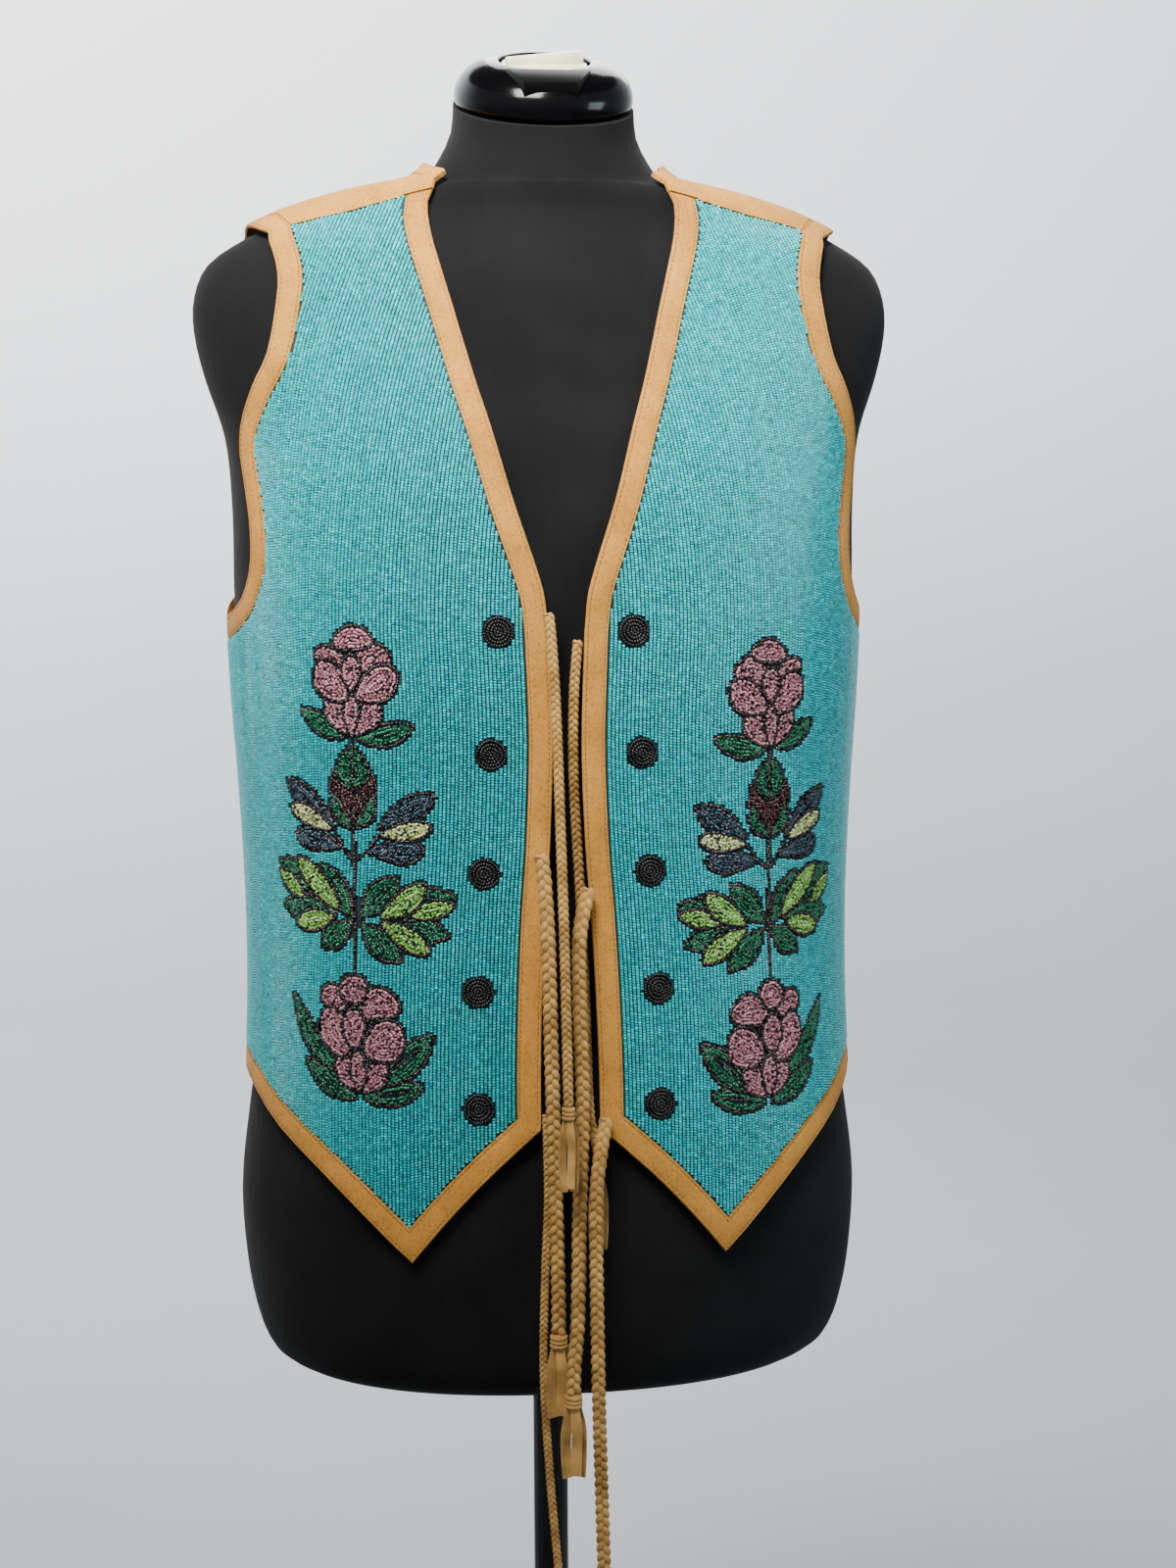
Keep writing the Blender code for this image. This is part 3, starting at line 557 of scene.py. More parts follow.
def wall(name: str, outer: Array, inner: Array, material: bpy.types.Material, crease: float = 50.0) -> bpy.types.Object:
    """A closed wall of cloth between two grids of points.

    Args:
        name: the piece's name.
        outer: grid of points of the outer face, rows by columns by three.
        inner: the same of the inner face.
        material: its finish.
        crease: edges sharper than this many degrees stay sharp.

    Returns:
        The new object.
    """
    rows, columns = outer.shape[0] - 1, outer.shape[1] - 1
    builder = bmesh.new()
    bmesh.ops.create_grid(builder, x_segments=columns, y_segments=rows, size=0.5)
    copies = bmesh.ops.extrude_face_region(builder, geom=builder.faces[:])["geom"]
    under = {item for item in copies if isinstance(item, bmesh.types.BMVert)}
    for vertex in builder.verts:
        i, j = round((vertex.co.x + 0.5) * columns), round((vertex.co.y + 0.5) * rows)
        vertex.co = (inner if vertex in under else outer)[j, i]
    return finished(name, builder, material, crease)


def loft(builder: bmesh.types.BMesh, rings: Sequence[Array]) -> None:
    """Extrude a closed skin through rings of points, and close its two ends.

    Args:
        builder: the bmesh that the skin is added to.
        rings: each ring's points, the same number in each.
    """
    ring = list(bmesh.ops.create_circle(builder, segments=len(rings[0]), radius=1.0)["verts"])
    for vertex, point in zip(ring, rings[0]):
        vertex.co = point
    edges = list({edge for vertex in ring for edge in vertex.link_edges})
    ends = [edges]
    for points in rings[1:]:
        home = {vertex: k for k, vertex in enumerate(ring)}
        made = bmesh.ops.extrude_edge_only(builder, edges=edges)["geom"]
        fresh = [item for item in made if isinstance(item, bmesh.types.BMVert)]
        ring = [None] * len(points)
        for vertex in fresh:
            for edge in vertex.link_edges:
                other = edge.other_vert(vertex)
                if other in home:
                    ring[home[other]] = vertex
        for vertex, point in zip(ring, points):
            vertex.co = point
        held = set(ring)
        edges = [
            item for item in made
            if isinstance(item, bmesh.types.BMEdge) and item.verts[0] in held and item.verts[1] in held
        ]
    ends.append(edges)
    for edges in ends:
        bmesh.ops.contextual_create(builder, geom=edges)


def mesh_arrays(builder: bmesh.types.BMesh) -> tuple[Array, Array]:
    """The points and four-cornered faces of a small shape, whose bmesh is freed."""
    builder.verts.index_update()
    points = np.array([tuple(vertex.co) for vertex in builder.verts])
    faces = np.array([[vertex.index for vertex in face.verts] for face in builder.faces])
    builder.free()
    return points, faces


def turned(name: str, profile: Sequence[tuple[float, float]], steps: int, material: bpy.types.Material,
           place: Matrix | None = None, crease: float = 35.0) -> bpy.types.Object:
    """A solid turned round Z from (radius, height) pairs, then set in place."""
    builder = bmesh.new()
    line = [builder.verts.new((radius, 0.0, height)) for radius, height in profile]
    edges = [builder.edges.new(pair) for pair in zip(line, line[1:])]
    bmesh.ops.spin(
        builder, geom=line + edges, cent=(0, 0, 0), axis=(0, 0, 1), angle=math.tau, steps=steps, use_merge=True
    )
    bmesh.ops.remove_doubles(builder, verts=builder.verts[:], dist=0.00001)
    if place is not None:
        bmesh.ops.transform(builder, matrix=place, verts=builder.verts[:])
    return finished(name, builder, material, crease)


def tiled(name: str, shape: tuple[Array, Array], centres: Array, frames: Array, tints: Array,
          material: bpy.types.Material, flip: bool = False, painted_shade_at_foot: float = 0.12) -> bpy.types.Object:
    """Join many copies of one small shape into a mesh with a colour for each.

    Args:
        name: the piece's name.
        shape: the small shape's points and its faces, each of four corners.
        centres: where each copy lies.
        frames: each copy's three axes, scaled, as rows.
        tints: each copy's colour.
        material: the finish, which reads the colours.
        flip: mirror the copies to the wearer's right.
        painted_shade_at_foot: share of the colour that is left at the foot of each copy, painted shade that darkens
            each copy from its top down to its foot.

    Returns:
        The new object.
    """
    points, faces = shape
    copies, size = len(centres), len(points)
    places = mirrored(centres[:, None, :] + np.einsum("pk,nkx->npx", points, frames), flip)
    corners = faces[:, ::-1] if flip else faces
    loops = (corners[None] + (np.arange(copies) * size)[:, None, None]).reshape(-1)
    mesh = bpy.data.meshes.new(name)
    mesh.vertices.add(copies * size)
    mesh.loops.add(len(loops))
    mesh.polygons.add(copies * len(faces))
    mesh.vertices.foreach_set("co", places.astype(np.float32).ravel())
    mesh.loops.foreach_set("vertex_index", loops.astype(np.int32))
    mesh.polygons.foreach_set("loop_start", np.arange(0, len(loops), 4, dtype=np.int32))
    mesh.update(calc_edges=True)
    mesh.shade_smooth()
    tint = mesh.attributes.new("tint", "FLOAT_COLOR", "POINT")
    # Painted shade: each copy's colour is darkened from its top down to its foot, standing in for the shade between
    # neighbouring beads.
    rise = points[:, 2] / max(points[:, 2].max(), 1e-9)
    depth = painted_shade_at_foot + (1 - painted_shade_at_foot) * np.clip(rise, 0.0, 1.0) ** 1.5
    shades = np.ones((copies, size, 4))
    shades[..., :3] = tints[:, None, :] * depth[None, :, None]
    tint.data.foreach_set("color", shades.astype(np.float32).ravel())
    return new_object(name, mesh, material)


class Wire:
    """A shader socket that Python's operators join to Math nodes."""

    def __init__(self, finish: "Finish", socket: bpy.types.NodeSocket) -> None:
        """Wrap an output socket of a finish's material."""
        self.finish = finish
        self.socket = socket

    def _maths(self, operation: str, first: "Wire | float", second: "Wire | float") -> "Wire":
        """One Math node of two values."""
        return self.finish.node("ShaderNodeMath", {"operation": operation}, {0: first, 1: second})

    def __add__(self, other: "Wire | float") -> "Wire":
        """Sum."""
        return self._maths("ADD", self, other)

    __radd__ = __add__

    def __sub__(self, other: "Wire | float") -> "Wire":
        """Difference."""
        return self._maths("SUBTRACT", self, other)

    def __rsub__(self, other: "Wire | float") -> "Wire":
        """Difference from a plain number."""
        return self._maths("SUBTRACT", other, self)

    def __mul__(self, other: "Wire | float") -> "Wire":
        """Product."""
        return self._maths("MULTIPLY", self, other)

    __rmul__ = __mul__


class Finish:
    """A procedural material under construction."""

    def __init__(self, name: str, roughness: float, **constants: float | Colour) -> None:
        """Start a material whose shader has constant values on its own sockets.

        Args:
            name: the finish's name.
            roughness: the shader's roughness.
            constants: other sockets by name, with underscores for spaces.
        """
        self.material = bpy.data.materials.new(name)
        self.material.use_nodes = True
        self.tree = self.material.node_tree
        self.shader = self.tree.nodes["Principled BSDF"]
        self.shader.inputs["Roughness"].default_value = roughness
        for key, value in constants.items():
            socket = self.shader.inputs[key.replace("_", " ")]
            socket.default_value = (*value, 1.0) if isinstance(value, tuple) else value

    def node(self, kind: str, settings: dict, values: dict, output: int | str = 0) -> Wire:
        """Add a node, set it, join its sockets, and return one of its outputs.

        Args:
            kind: the node's type.
            settings: attributes that are set first; a ramp's stops are under "stops".
            values: numbers, colours or wires by socket.
            output: the output socket that is returned.

        Returns:
            The wire from that output.
        """
        made = self.tree.nodes.new(kind)
        for key, value in settings.items():
            if key == "stops":
                ramp = made.color_ramp
                while len(ramp.elements) < len(value):
                    ramp.elements.new(0.5)
                for element, (place, colour) in zip(ramp.elements, value):
                    element.position = place
                    element.color = (*colour, 1.0)
            else:
                setattr(made, key, value)
        for key, value in values.items():
            socket = made.inputs[key]
            if isinstance(value, Wire):
                self.tree.links.new(value.socket, socket)
            elif isinstance(value, tuple) and len(value) == 3 and socket.type == "RGBA":
                socket.default_value = (*value, 1.0)
            else:
                socket.default_value = value
        return Wire(self, made.outputs[output])

    def here(self) -> Wire:
        """The piece's own coordinates."""
        return self.node("ShaderNodeTexCoord", {}, {}, "Object")

    def noise(self, scale: float, detail: float = 3.0, stretch: Colour | None = None, rough: float = 0.5) -> Wire:
        """Noise over the piece, drawn out along its axes if stretch is given."""
        place = self.here()
        if stretch is not None:
            place = self.node("ShaderNodeMapping", {}, {"Vector": place, "Scale": stretch})
        return self.node(
            "ShaderNodeTexNoise", {}, {"Vector": place, "Scale": scale, "Detail": detail, "Roughness": rough}
        )

    def ramp(self, factor: Wire, *stops: tuple[float, Colour]) -> Wire:
        """Colours along a factor."""
        return self.node("ShaderNodeValToRGB", {"stops": stops}, {"Fac": factor})

    def mix(self, factor: Wire | float, first: Wire | Colour, second: Wire | Colour, blend: str = "MIX") -> Wire:
        """Mix two colours."""
        made = self.tree.nodes.new("ShaderNodeMix")
        made.data_type = "RGBA"
        made.blend_type = blend
        for key, value in ((0, factor), (6, first), (7, second)):
            if isinstance(value, Wire):
                self.tree.links.new(value.socket, made.inputs[key])
            else:
                made.inputs[key].default_value = (*value, 1.0) if key else value
        return Wire(self, made.outputs[2])

    def colour(self, wire: Wire) -> None:
        """Feed the base colour."""
        self.tree.links.new(wire.socket, self.shader.inputs["Base Color"])

    def roughness(self, wire: Wire) -> None:
        """Feed the roughness."""
        self.tree.links.new(wire.socket, self.shader.inputs["Roughness"])

    def bump(self, height: Wire, strength: float, distance: float) -> None:
        """Raise the surface by a height."""
        made = self.node(
            "ShaderNodeBump", {}, {"Height": height, "Strength": strength, "Distance": distance}
        )
        self.tree.links.new(made.socket, self.shader.inputs["Normal"])


@dataclass(frozen=True)
class Glass:
    """Opaque glass seed beads, each in its own colour."""

    roughness: float = 0.20
    coat: float = 0.20
    specular: float = 0.5

    def make(self, name: str) -> bpy.types.Material:
        """Build the finish."""
        finish = Finish(
            name, self.roughness, Coat_Weight=self.coat, Coat_Roughness=0.08, Specular_IOR_Level=self.specular
        )
        # Each bead's own colour, with painted shade toward its foot already laid into it.
        tint = finish.node("ShaderNodeAttribute", {"attribute_name": "tint"}, {}, "Color")
        mottle = finish.noise(260.0, 2.0)
        shade = finish.mix(0.35, tint, finish.ramp(mottle, (0.3, (0.72, 0.72, 0.72)), (0.7, (1.0, 1.0, 1.0))), "MULTIPLY")
        finish.colour(shade)
        return finish.material


@dataclass(frozen=True)
class Suede:
    """Tan hide with its nap brushed light and dark."""

    light: Colour = linear(190, 134, 58)
    dark: Colour = linear(164, 114, 46)
    worn: Colour = linear(104, 70, 30)

    def make(self, name: str) -> bpy.types.Material:
        """Build the finish."""
        finish = Finish(name, 0.92, Sheen_Weight=0.06, Sheen_Roughness=0.5, Specular_IOR_Level=0.12)
        broad = finish.noise(38.0, 4.0)
        fine = finish.noise(620.0, 3.0, rough=0.7)
        base = finish.ramp(broad, (0.30, self.dark), (0.66, self.light))
        speck = finish.ramp(fine, (0.30, self.worn), (0.52, (1.0, 1.0, 1.0)))
        finish.colour(finish.mix(0.42, base, speck, "MULTIPLY"))
        finish.bump(fine + finish.noise(1500.0, 2.0) * 0.6, 0.55, 0.0004)
        return finish.material


@dataclass(frozen=True)
class Jersey:
    """Black stretch jersey of fine knit."""

    dark: Colour = linear(12, 12, 13)
    light: Colour = linear(20, 20, 21)

    def make(self, name: str) -> bpy.types.Material:
        """Build the finish."""
        finish = Finish(name, 0.9, Sheen_Weight=0.02, Sheen_Roughness=0.4, Specular_IOR_Level=0.12)
        broad = finish.noise(16.0, 4.0)
        finish.colour(finish.ramp(broad, (0.35, self.dark), (0.70, self.light)))
        ribs = finish.node(
            "ShaderNodeTexWave", {"bands_direction": "X"},
            {"Vector": finish.here(), "Scale": 420.0, "Distortion": 1.5, "Detail": 2.0, "Detail Scale": 3.0}, 1
        )
        finish.bump(ribs + finish.noise(900.0, 2.0), 0.35, 0.0003)
        return finish.material


@dataclass(frozen=True)
class Plain:
    """A hard smooth finish with faint marks of handling."""

    colour: Colour
    roughness: float
    ior: float = 1.45
    grain: float = 0.05

    def make(self, name: str) -> bpy.types.Material:
        """Build the finish."""
        finish = Finish(name, self.roughness, IOR=self.ior)
        marks = finish.noise(60.0, 5.0, rough=0.65)
        darker = tuple(c * 0.8 for c in self.colour)
        finish.colour(finish.ramp(marks, (0.35, darker), (0.65, self.colour)))
        finish.roughness(marks * self.grain + (self.roughness - self.grain / 2))
        finish.bump(finish.noise(240.0, 3.0), 0.08, 0.0003)
        return finish.material


@dataclass(frozen=True)
class Braid:
    """Leather lacing, smooth on the strips and dark between them."""

    light: Colour = linear(184, 144, 80)
    dark: Colour = linear(136, 100, 48)

    def make(self, name: str) -> bpy.types.Material:
        """Build the finish."""
        finish = Finish(name, 0.78, Sheen_Weight=0.05, Specular_IOR_Level=0.2)
        broad = finish.noise(90.0, 4.0)
        fine = finish.noise(1100.0, 3.0, rough=0.7)
        base = finish.ramp(broad, (0.30, self.dark), (0.68, self.light))
        finish.colour(finish.mix(0.3, base, finish.ramp(fine, (0.3, (0.6, 0.55, 0.48)), (0.6, (1.0, 1.0, 1.0))), "MULTIPLY"))
        finish.bump(fine, 0.4, 0.0003)
        return finish.material


@dataclass
class Wardrobe:
    """Every finish, made once."""

    beads: bpy.types.Material = field(default_factory=lambda: Glass().make("glass_beads"))
    jet: bpy.types.Material = field(default_factory=lambda: Glass(0.16, 0.0, 0.42).make("jet_beads"))
    suede: bpy.types.Material = field(default_factory=lambda: Suede().make("tan_suede"))
    jersey: bpy.types.Material = field(default_factory=lambda: Jersey().make("black_jersey"))
    braid: bpy.types.Material = field(default_factory=lambda: Braid().make("braided_leather"))
    # Painted shade: the hide under the beads is dark teal, the shade seen in the gaps between beads, not the hide's own
    # colour.
    backing: bpy.types.Material = field(
        default_factory=lambda: Plain(linear(8, 52, 56), 0.9, grain=0.02).make("bead_gap_shade")
    )
    thread: bpy.types.Material = field(
        default_factory=lambda: Plain(linear(92, 62, 30), 0.8, grain=0.02).make("sewing_thread")
    )
    dark_thread: bpy.types.Material = field(
        default_factory=lambda: Plain(linear(22, 20, 21), 0.8, grain=0.02).make("dark_thread")
    )
    gloss: bpy.types.Material = field(
        default_factory=lambda: Plain(linear(4, 4, 5), 0.15, ior=1.26).make("gloss_black")
    )
    satin: bpy.types.Material = field(
        default_factory=lambda: Plain(linear(5, 5, 6), 0.42, ior=1.2).make("satin_black")
    )
    cream: bpy.types.Material = field(
        default_factory=lambda: Plain(linear(222, 216, 190), 0.38).make("cream_plastic")
    )
    metal: bpy.types.Material = field(
        default_factory=lambda: Plain(linear(9, 9, 10), 0.42, ior=1.3).make("black_metal")
    )


@dataclass
class Bead:
    """One seed bead with its flat side on the hide, in its own axes: along the hole, across, out."""

    length: float = 1.46 * MM
    width: float = 2.20 * MM
    height: float = 1.75 * MM
    waist: float = 0.50
    end_width: float = 0.80
    section: tuple[tuple[float, float], ...] = ((-0.98, 0.0), (-0.56, 0.94), (0.56, 0.94), (0.98, 0.0))

    def shape(self) -> tuple[Array, Array]:
        """The bead's points and its faces; the side on the hide stays open."""
        rings = []
        for share, wide, swell in ((-0.5, self.end_width, self.waist), (0.0, 1.0, 1.0), (0.5, self.end_width, self.waist)):
            rings.append(np.array([
                (share * self.length, across * self.width / 2 * wide, out * self.height * swell)
                for across, out in self.section
            ]))
        builder = bmesh.new()
        loft(builder, rings)
        bmesh.ops.recalc_face_normals(builder, faces=builder.faces[:])
        hidden = [face for face in builder.faces if abs(face.normal.x) > 0.99 or face.normal.z < -0.99]
        bmesh.ops.delete(builder, geom=hidden, context="FACES_ONLY")
        return mesh_arrays(builder)


class Strung(NamedTuple):
    """Beads ready to be laid: places, directions along their strings, and colours."""

    places: Array
    ahead: Array
    tints: Array


@dataclass
class BeadedFront:
    """One front: its hide panel, ground beads, floral spray and rosettes."""

    cut: Cut
    chart: Chart
    wardrobe: Wardrobe
    side: str
    bead: Bead = field(default_factory=Bead)
    colours: BeadColours = field(default_factory=BeadColours)
    panel_wall: float = 1.0 * MM
    bead_seat: float = 0.95 * MM
    string_pitch: float = 2.16 * MM
    bead_pitch: float = 1.47 * MM
    row_pitch: float = 1.86 * MM
    lobe_gap: float = 1.38 * MM
    ground_gap: float = 1.68 * MM
    stem_turn: float = 52.5
    spray_top: float = 1.0935
    left_spray_drop: float = 9.0 * MM
    lean: float = 0.42
    lean_from: float = 1.15
    lean_full: float = 1.36
    rosettes: tuple[Edge, ...] = (
        Edge(1.1503, 80.5), Edge(1.0855, 79.0), Edge(1.0200, 77.4), Edge(0.9500, 76.1), Edge(0.8875, 76.3),
    )
    rosette_radius: float = 8.6 * MM
    ribs: tuple[tuple[tuple[float, float], ...], ...] = (
        ((0.0, -5.0), (0.0, -27.0)),
        ((0.0, -40.0), (0.0, -50.0)),
        ((16.0, -191.0), (27.0, -182.0), (36.0, -175.0)),
        ((14.0, -200.5), (24.0, -199.5), (31.0, -198.0)),
    )
    lobes: tuple[Lobe, ...] = (
        Lobe(0.0, 24.5, 0.5, 45.5, 13.0, 0.62, 0.58, 0.0, Thread.PETAL),
        Lobe(-2.5, 19.5, -20.5, 41.5, 20.0, 0.56, 0.52, -1.0, Thread.PETAL),
        Lobe(2.5, 20.5, 26.5, 37.0, 19.5, 0.58, 0.52, 1.0, Thread.PETAL),
        Lobe(0.0, 0.5, 0.0, 24.0, 10.5, 0.62, 0.60, 0.0, Thread.PETAL),
        Lobe(-1.0, 1.0, -14.0, 24.5, 13.5, 0.60, 0.58, -1.5, Thread.PETAL),
        Lobe(1.5, 1.0, 16.0, 22.5, 14.5, 0.60, 0.58, 1.5, Thread.PETAL),
        Lobe(-11.0, 51.5, 14.0, 52.5, 14.5, 0.50, 0.50, -2.0, Thread.PETAL),
        Lobe(-1.0, 38.0, -22.0, 47.0, 16.0, 0.54, 0.50, -1.5, Thread.PETAL),
        Lobe(1.0, 39.0, 24.5, 43.0, 17.0, 0.54, 0.50, -2.5, Thread.PETAL),
        Lobe(0.0, 6.0, 0.0, 50.0, 30.0, 0.55, 0.50, 0.0, Thread.STEM),
        Lobe(-3.0, 0.5, -32.5, 15.5, 12.5, 0.48, 0.80, -1.0, Thread.LEAF),
        Lobe(3.5, -0.5, 36.5, 7.0, 13.0, 0.50, 0.80, 1.5, Thread.LEAF),
        Lobe(0.0, -29.0, 0.0, -3.0, 21.0, 0.42, 0.85, 0.0, Thread.LEAF),
        Lobe(-0.5, -50.5, -12.5, -30.0, 8.5, 0.50, 0.72, -3.0, Thread.LEAF),
        Lobe(0.5, -50.5, 12.5, -31.0, 8.5, 0.50, 0.72, 3.0, Thread.LEAF),
        Lobe(0.0, -51.5, 0.0, -2.5, 29.0, 0.45, 0.74, 0.0, Thread.BUD),
        Lobe(-13.5, -51.5, -42.0, -39.0, 12.0, 0.58, 0.56, 0.5, Thread.CREAM),
        Lobe(-11.5, -50.0, -44.0, -24.0, 14.5, 0.58, 0.80, 0.5, Thread.SLATE),
        Lobe(-6.5, -61.0, -38.5, -54.5, 14.5, 0.66, 0.62, 0.5, Thread.SLATE),
        Lobe(15.5, -53.0, 45.5, -48.5, 12.0, 0.60, 0.58, 0.5, Thread.CREAM),
        Lobe(14.5, -49.5, 47.0, -30.0, 15.5, 0.58, 0.78, 0.5, Thread.SLATE),
        Lobe(7.0, -62.5, 41.0, -61.0, 15.0, 0.66, 0.62, 0.5, Thread.SLATE),
        Lobe(-9.0, -97.5, -38.0, -68.0, 14.5, 0.55, 0.66, 0.5, Thread.YOUNG_LEAF),
        Lobe(-12.5, -101.0, -40.5, -107.5, 14.5, 0.56, 0.62, 0.0, Thread.YOUNG_LEAF),
        Lobe(-34.0, -92.0, -53.0, -75.5, 11.0, 0.50, 0.78, 0.0, Thread.YOUNG_LEAF),
        Lobe(-1.5, -101.5, -21.5, -70.0, 16.5, 0.52, 0.90, 0.0, Thread.LEAF),
        Lobe(-1.5, -103.5, -22.5, -120.5, 16.0, 0.56, 0.90, 0.0, Thread.LEAF),
        Lobe(-11.0, -99.0, -50.5, -97.0, 18.0, 0.58, 0.90, 0.0, Thread.LEAF),
        Lobe(-12.0, -96.0, -53.0, -70.5, 22.0, 0.58, 0.86, 0.0, Thread.LEAF),
        Lobe(15.0, -101.5, 41.5, -80.0, 15.0, 0.58, 0.64, 1.5, Thread.YOUNG_LEAF),
        Lobe(15.0, -103.0, 43.5, -122.5, 14.5, 0.58, 0.64, -0.5, Thread.YOUNG_LEAF),
        Lobe(32.0, -99.5, 57.5, -92.0, 12.5, 0.52, 0.70, -0.5, Thread.YOUNG_LEAF),
        Lobe(3.0, -101.5, 26.0, -75.5, 17.5, 0.54, 0.90, 0.0, Thread.LEAF),
        Lobe(3.0, -104.0, 27.0, -128.5, 16.5, 0.54, 0.90, 0.0, Thread.LEAF),
        Lobe(14.0, -100.5, 58.5, -86.5, 20.0, 0.60, 0.86, 0.0, Thread.LEAF),
        Lobe(14.0, -102.5, 54.5, -111.5, 18.0, 0.58, 0.88, 0.0, Thread.LEAF),
        Lobe(-2.0, -177.0, -2.0, -153.5, 15.5, 0.55, 0.55, 0.0, Thread.PETAL),
        Lobe(-6.0, -182.0, -19.5, -154.0, 20.5, 0.54, 0.52, -1.5, Thread.PETAL),
        Lobe(5.0, -180.0, 26.5, -162.5, 24.0, 0.54, 0.50, 1.5, Thread.PETAL),
        Lobe(1.0, -200.5, 0.0, -176.5, 11.5, 0.58, 0.58, 0.0, Thread.PETAL),
        Lobe(1.0, -200.5, -12.0, -178.0, 13.0, 0.58, 0.56, -2.0, Thread.PETAL),
        Lobe(3.5, -200.5, 15.5, -180.0, 14.5, 0.58, 0.56, 2.0, Thread.PETAL),
        Lobe(1.5, -152.5, -5.0, -135.5, 19.0, 0.55, 0.50, 0.0, Thread.PETAL),
        Lobe(-6.0, -155.0, -22.5, -144.5, 16.5, 0.55, 0.50, 0.0, Thread.PETAL),
        Lobe(0.0, -156.0, 26.5, -152.0, 19.0, 0.55, 0.50, -3.0, Thread.PETAL),
        Lobe(0.0, -192.0, 0.0, -148.0, 34.0, 0.52, 0.50, 0.0, Thread.STEM),
        Lobe(-13.0, -190.0, -44.0, -148.5, 13.0, 0.42, 0.82, -3.0, Thread.LEAF),
        Lobe(0.0, -204.0, -35.0, -184.5, 14.0, 0.50, 0.76, -1.5, Thread.LEAF),
        Lobe(10.0, -197.0, 44.5, -167.0, 17.0, 0.52, 0.76, 1.5, Thread.LEAF),
        Lobe(3.0, -203.0, 39.5, -195.5, 14.0, 0.52, 0.76, 1.0, Thread.LEAF),
    )
    stems: tuple[tuple[tuple[float, float], ...], ...] = (
        ((0.0, 1.0), (0.0, -3.0)),
        ((0.0, -51.0), (0.0, -90.0), (-1.0, -137.0)),
        ((-13.0, -50.0), (-7.0, -60.0), (0.0, -69.0)),
        ((16.0, -52.0), (8.0, -62.0), (0.0, -69.0)),
    )

    @property
    def flip(self) -> bool:
        """True on the wearer's right."""
        return self.side == "right"

    def __post_init__(self) -> None:
        """Give each side its own run of chance, and lay out the beads' clear area."""
        self.chance = np.random.default_rng(11 if self.flip else 7)
        margin = self.string_pitch * 0.22
        _, inner = self.cut.outline(3, self.cut.band + margin, margin)
        front, top, armhole, seam, hem = inner
        self.clear = np.vstack((front[:-1], top[:-1], armhole[::-1][:-1], seam[::-1][:-1], hem[::-1][:-1]))

    def to_places(self, across: Array, along: Array) -> Array:
        """Places of flat chart points."""
        return np.stack((self.chart.angle(across, along), along), axis=-1)

    def points(self, places: Array) -> Array:
        """Where beads at these places sit."""
        return self.cut.skin.cloth(places[..., 0], places[..., 1], self.bead_seat)

    def ground(self, taken: Array) -> Strung:
        """The background: strings that run down the front and lean out at the shoulder.

        Args:
            taken: points of the motifs' beads, which the ground leaves clear.

        Returns:
            The ground's beads.
        """
        skin = self.cut.skin
        rows = self.chart.rows
        height = skin.sections.at(rows)[:, 0]
        up = np.clip(height - self.lean_from, 0.0, None)
        span = self.lean_full - self.lean_from
        drift = self.lean * np.where(up < span, up**2 / (2 * span), up - span / 2)
        edges = self.cut.front_lower
        follow = Curve([edge.height for edge in edges], [(self.chart.across(edge.turn, edge.height),) for edge in edges])
        first = self.cut.band + self.string_pitch / 2
        starts = np.arange(first - 2 * self.string_pitch, self.chart.reach - 0.01, self.string_pitch)
        across = starts[:, None] + (follow.at(height)[:, 0] - drift)[None, :]
        along = np.broadcast_to(rows, across.shape)
        places = self.to_places(across, along)
        points = self.points(places)
        found, ahead, shades = [], [], []
        for line, spots in zip(places, points):
            run = running(spots)
            at = np.arange(self.chance.uniform(0, self.bead_pitch), run[-1], self.bead_pitch)
            at = at + self.chance.normal(0.0, 0.035 * MM, len(at))
            here = np.stack([np.interp(at, run, line[:, k]) for k in (0, 1)], axis=-1)
            tangent = np.stack([np.gradient(spots[:, k], run) for k in range(3)], axis=-1)
            found.append(here)
            ahead.append(np.stack([np.interp(at, run, tangent[:, k]) for k in range(3)], axis=-1))
            shades.append(np.full(len(at), self.chance.normal(0.0, 0.02)))
        found, ahead = np.vstack(found), np.vstack(ahead)
        keep = inside(found, self.clear)
        found, ahead, dyed = found[keep], ahead[keep], np.concatenate(shades)[keep]
        tree = tree_of(taken)
        free = np.array([tree.find(spot)[2] > self.ground_gap for spot in self.points(found)])
        found, ahead, dyed = found[free], ahead[free], dyed[free]
        shade = np.exp(self.chance.normal(0.0, 0.19, (len(found), 1)) + dyed[:, None])
        hue = self.chance.normal(0.0, 0.03, (len(found), 3))
        tints = np.clip(np.array(self.colours.ground) * shade * (1 + hue), 0.0, 1.0)
        return Strung(found, ahead, tints)

    def lobe_row(self, lobe: Lobe, inset: float) -> Array:
        """A closed row of points inside a lobe's outline, in millimetres.

        Args:
            lobe: the petal or leaf.
            inset: distance inside its outline.

        Returns:
            Points round the row, or along its middle where it is too thin to go round.
        """
        base = np.array((lobe.base_across, lobe.base_up))
        tip = np.array((lobe.tip_across, lobe.tip_up))
        axis = (tip - base) / np.linalg.norm(tip - base)
        side = np.array((axis[1], -axis[0]))
        base, tip = base + axis * inset, tip - axis * inset
        half = lobe.width / 2 - inset
        power = math.log(0.5) / math.log(lobe.widest)
        share = 0.5 - 0.5 * np.cos(np.linspace(0.0, math.pi, 60))
        middle = base + (tip - base) * share[:, None] + side * (lobe.bend * np.sin(math.pi * share))[:, None]
        if half < 0.9 or (tip - base) @ axis < 2.0:
            return middle[4:-4] if (tip - base) @ axis > 1.5 else middle[30:31]
        swell = half * np.sin(math.pi * share**power) ** lobe.round
        return np.vstack((middle + side * swell[:, None], (middle - side * swell[:, None])[::-1]))

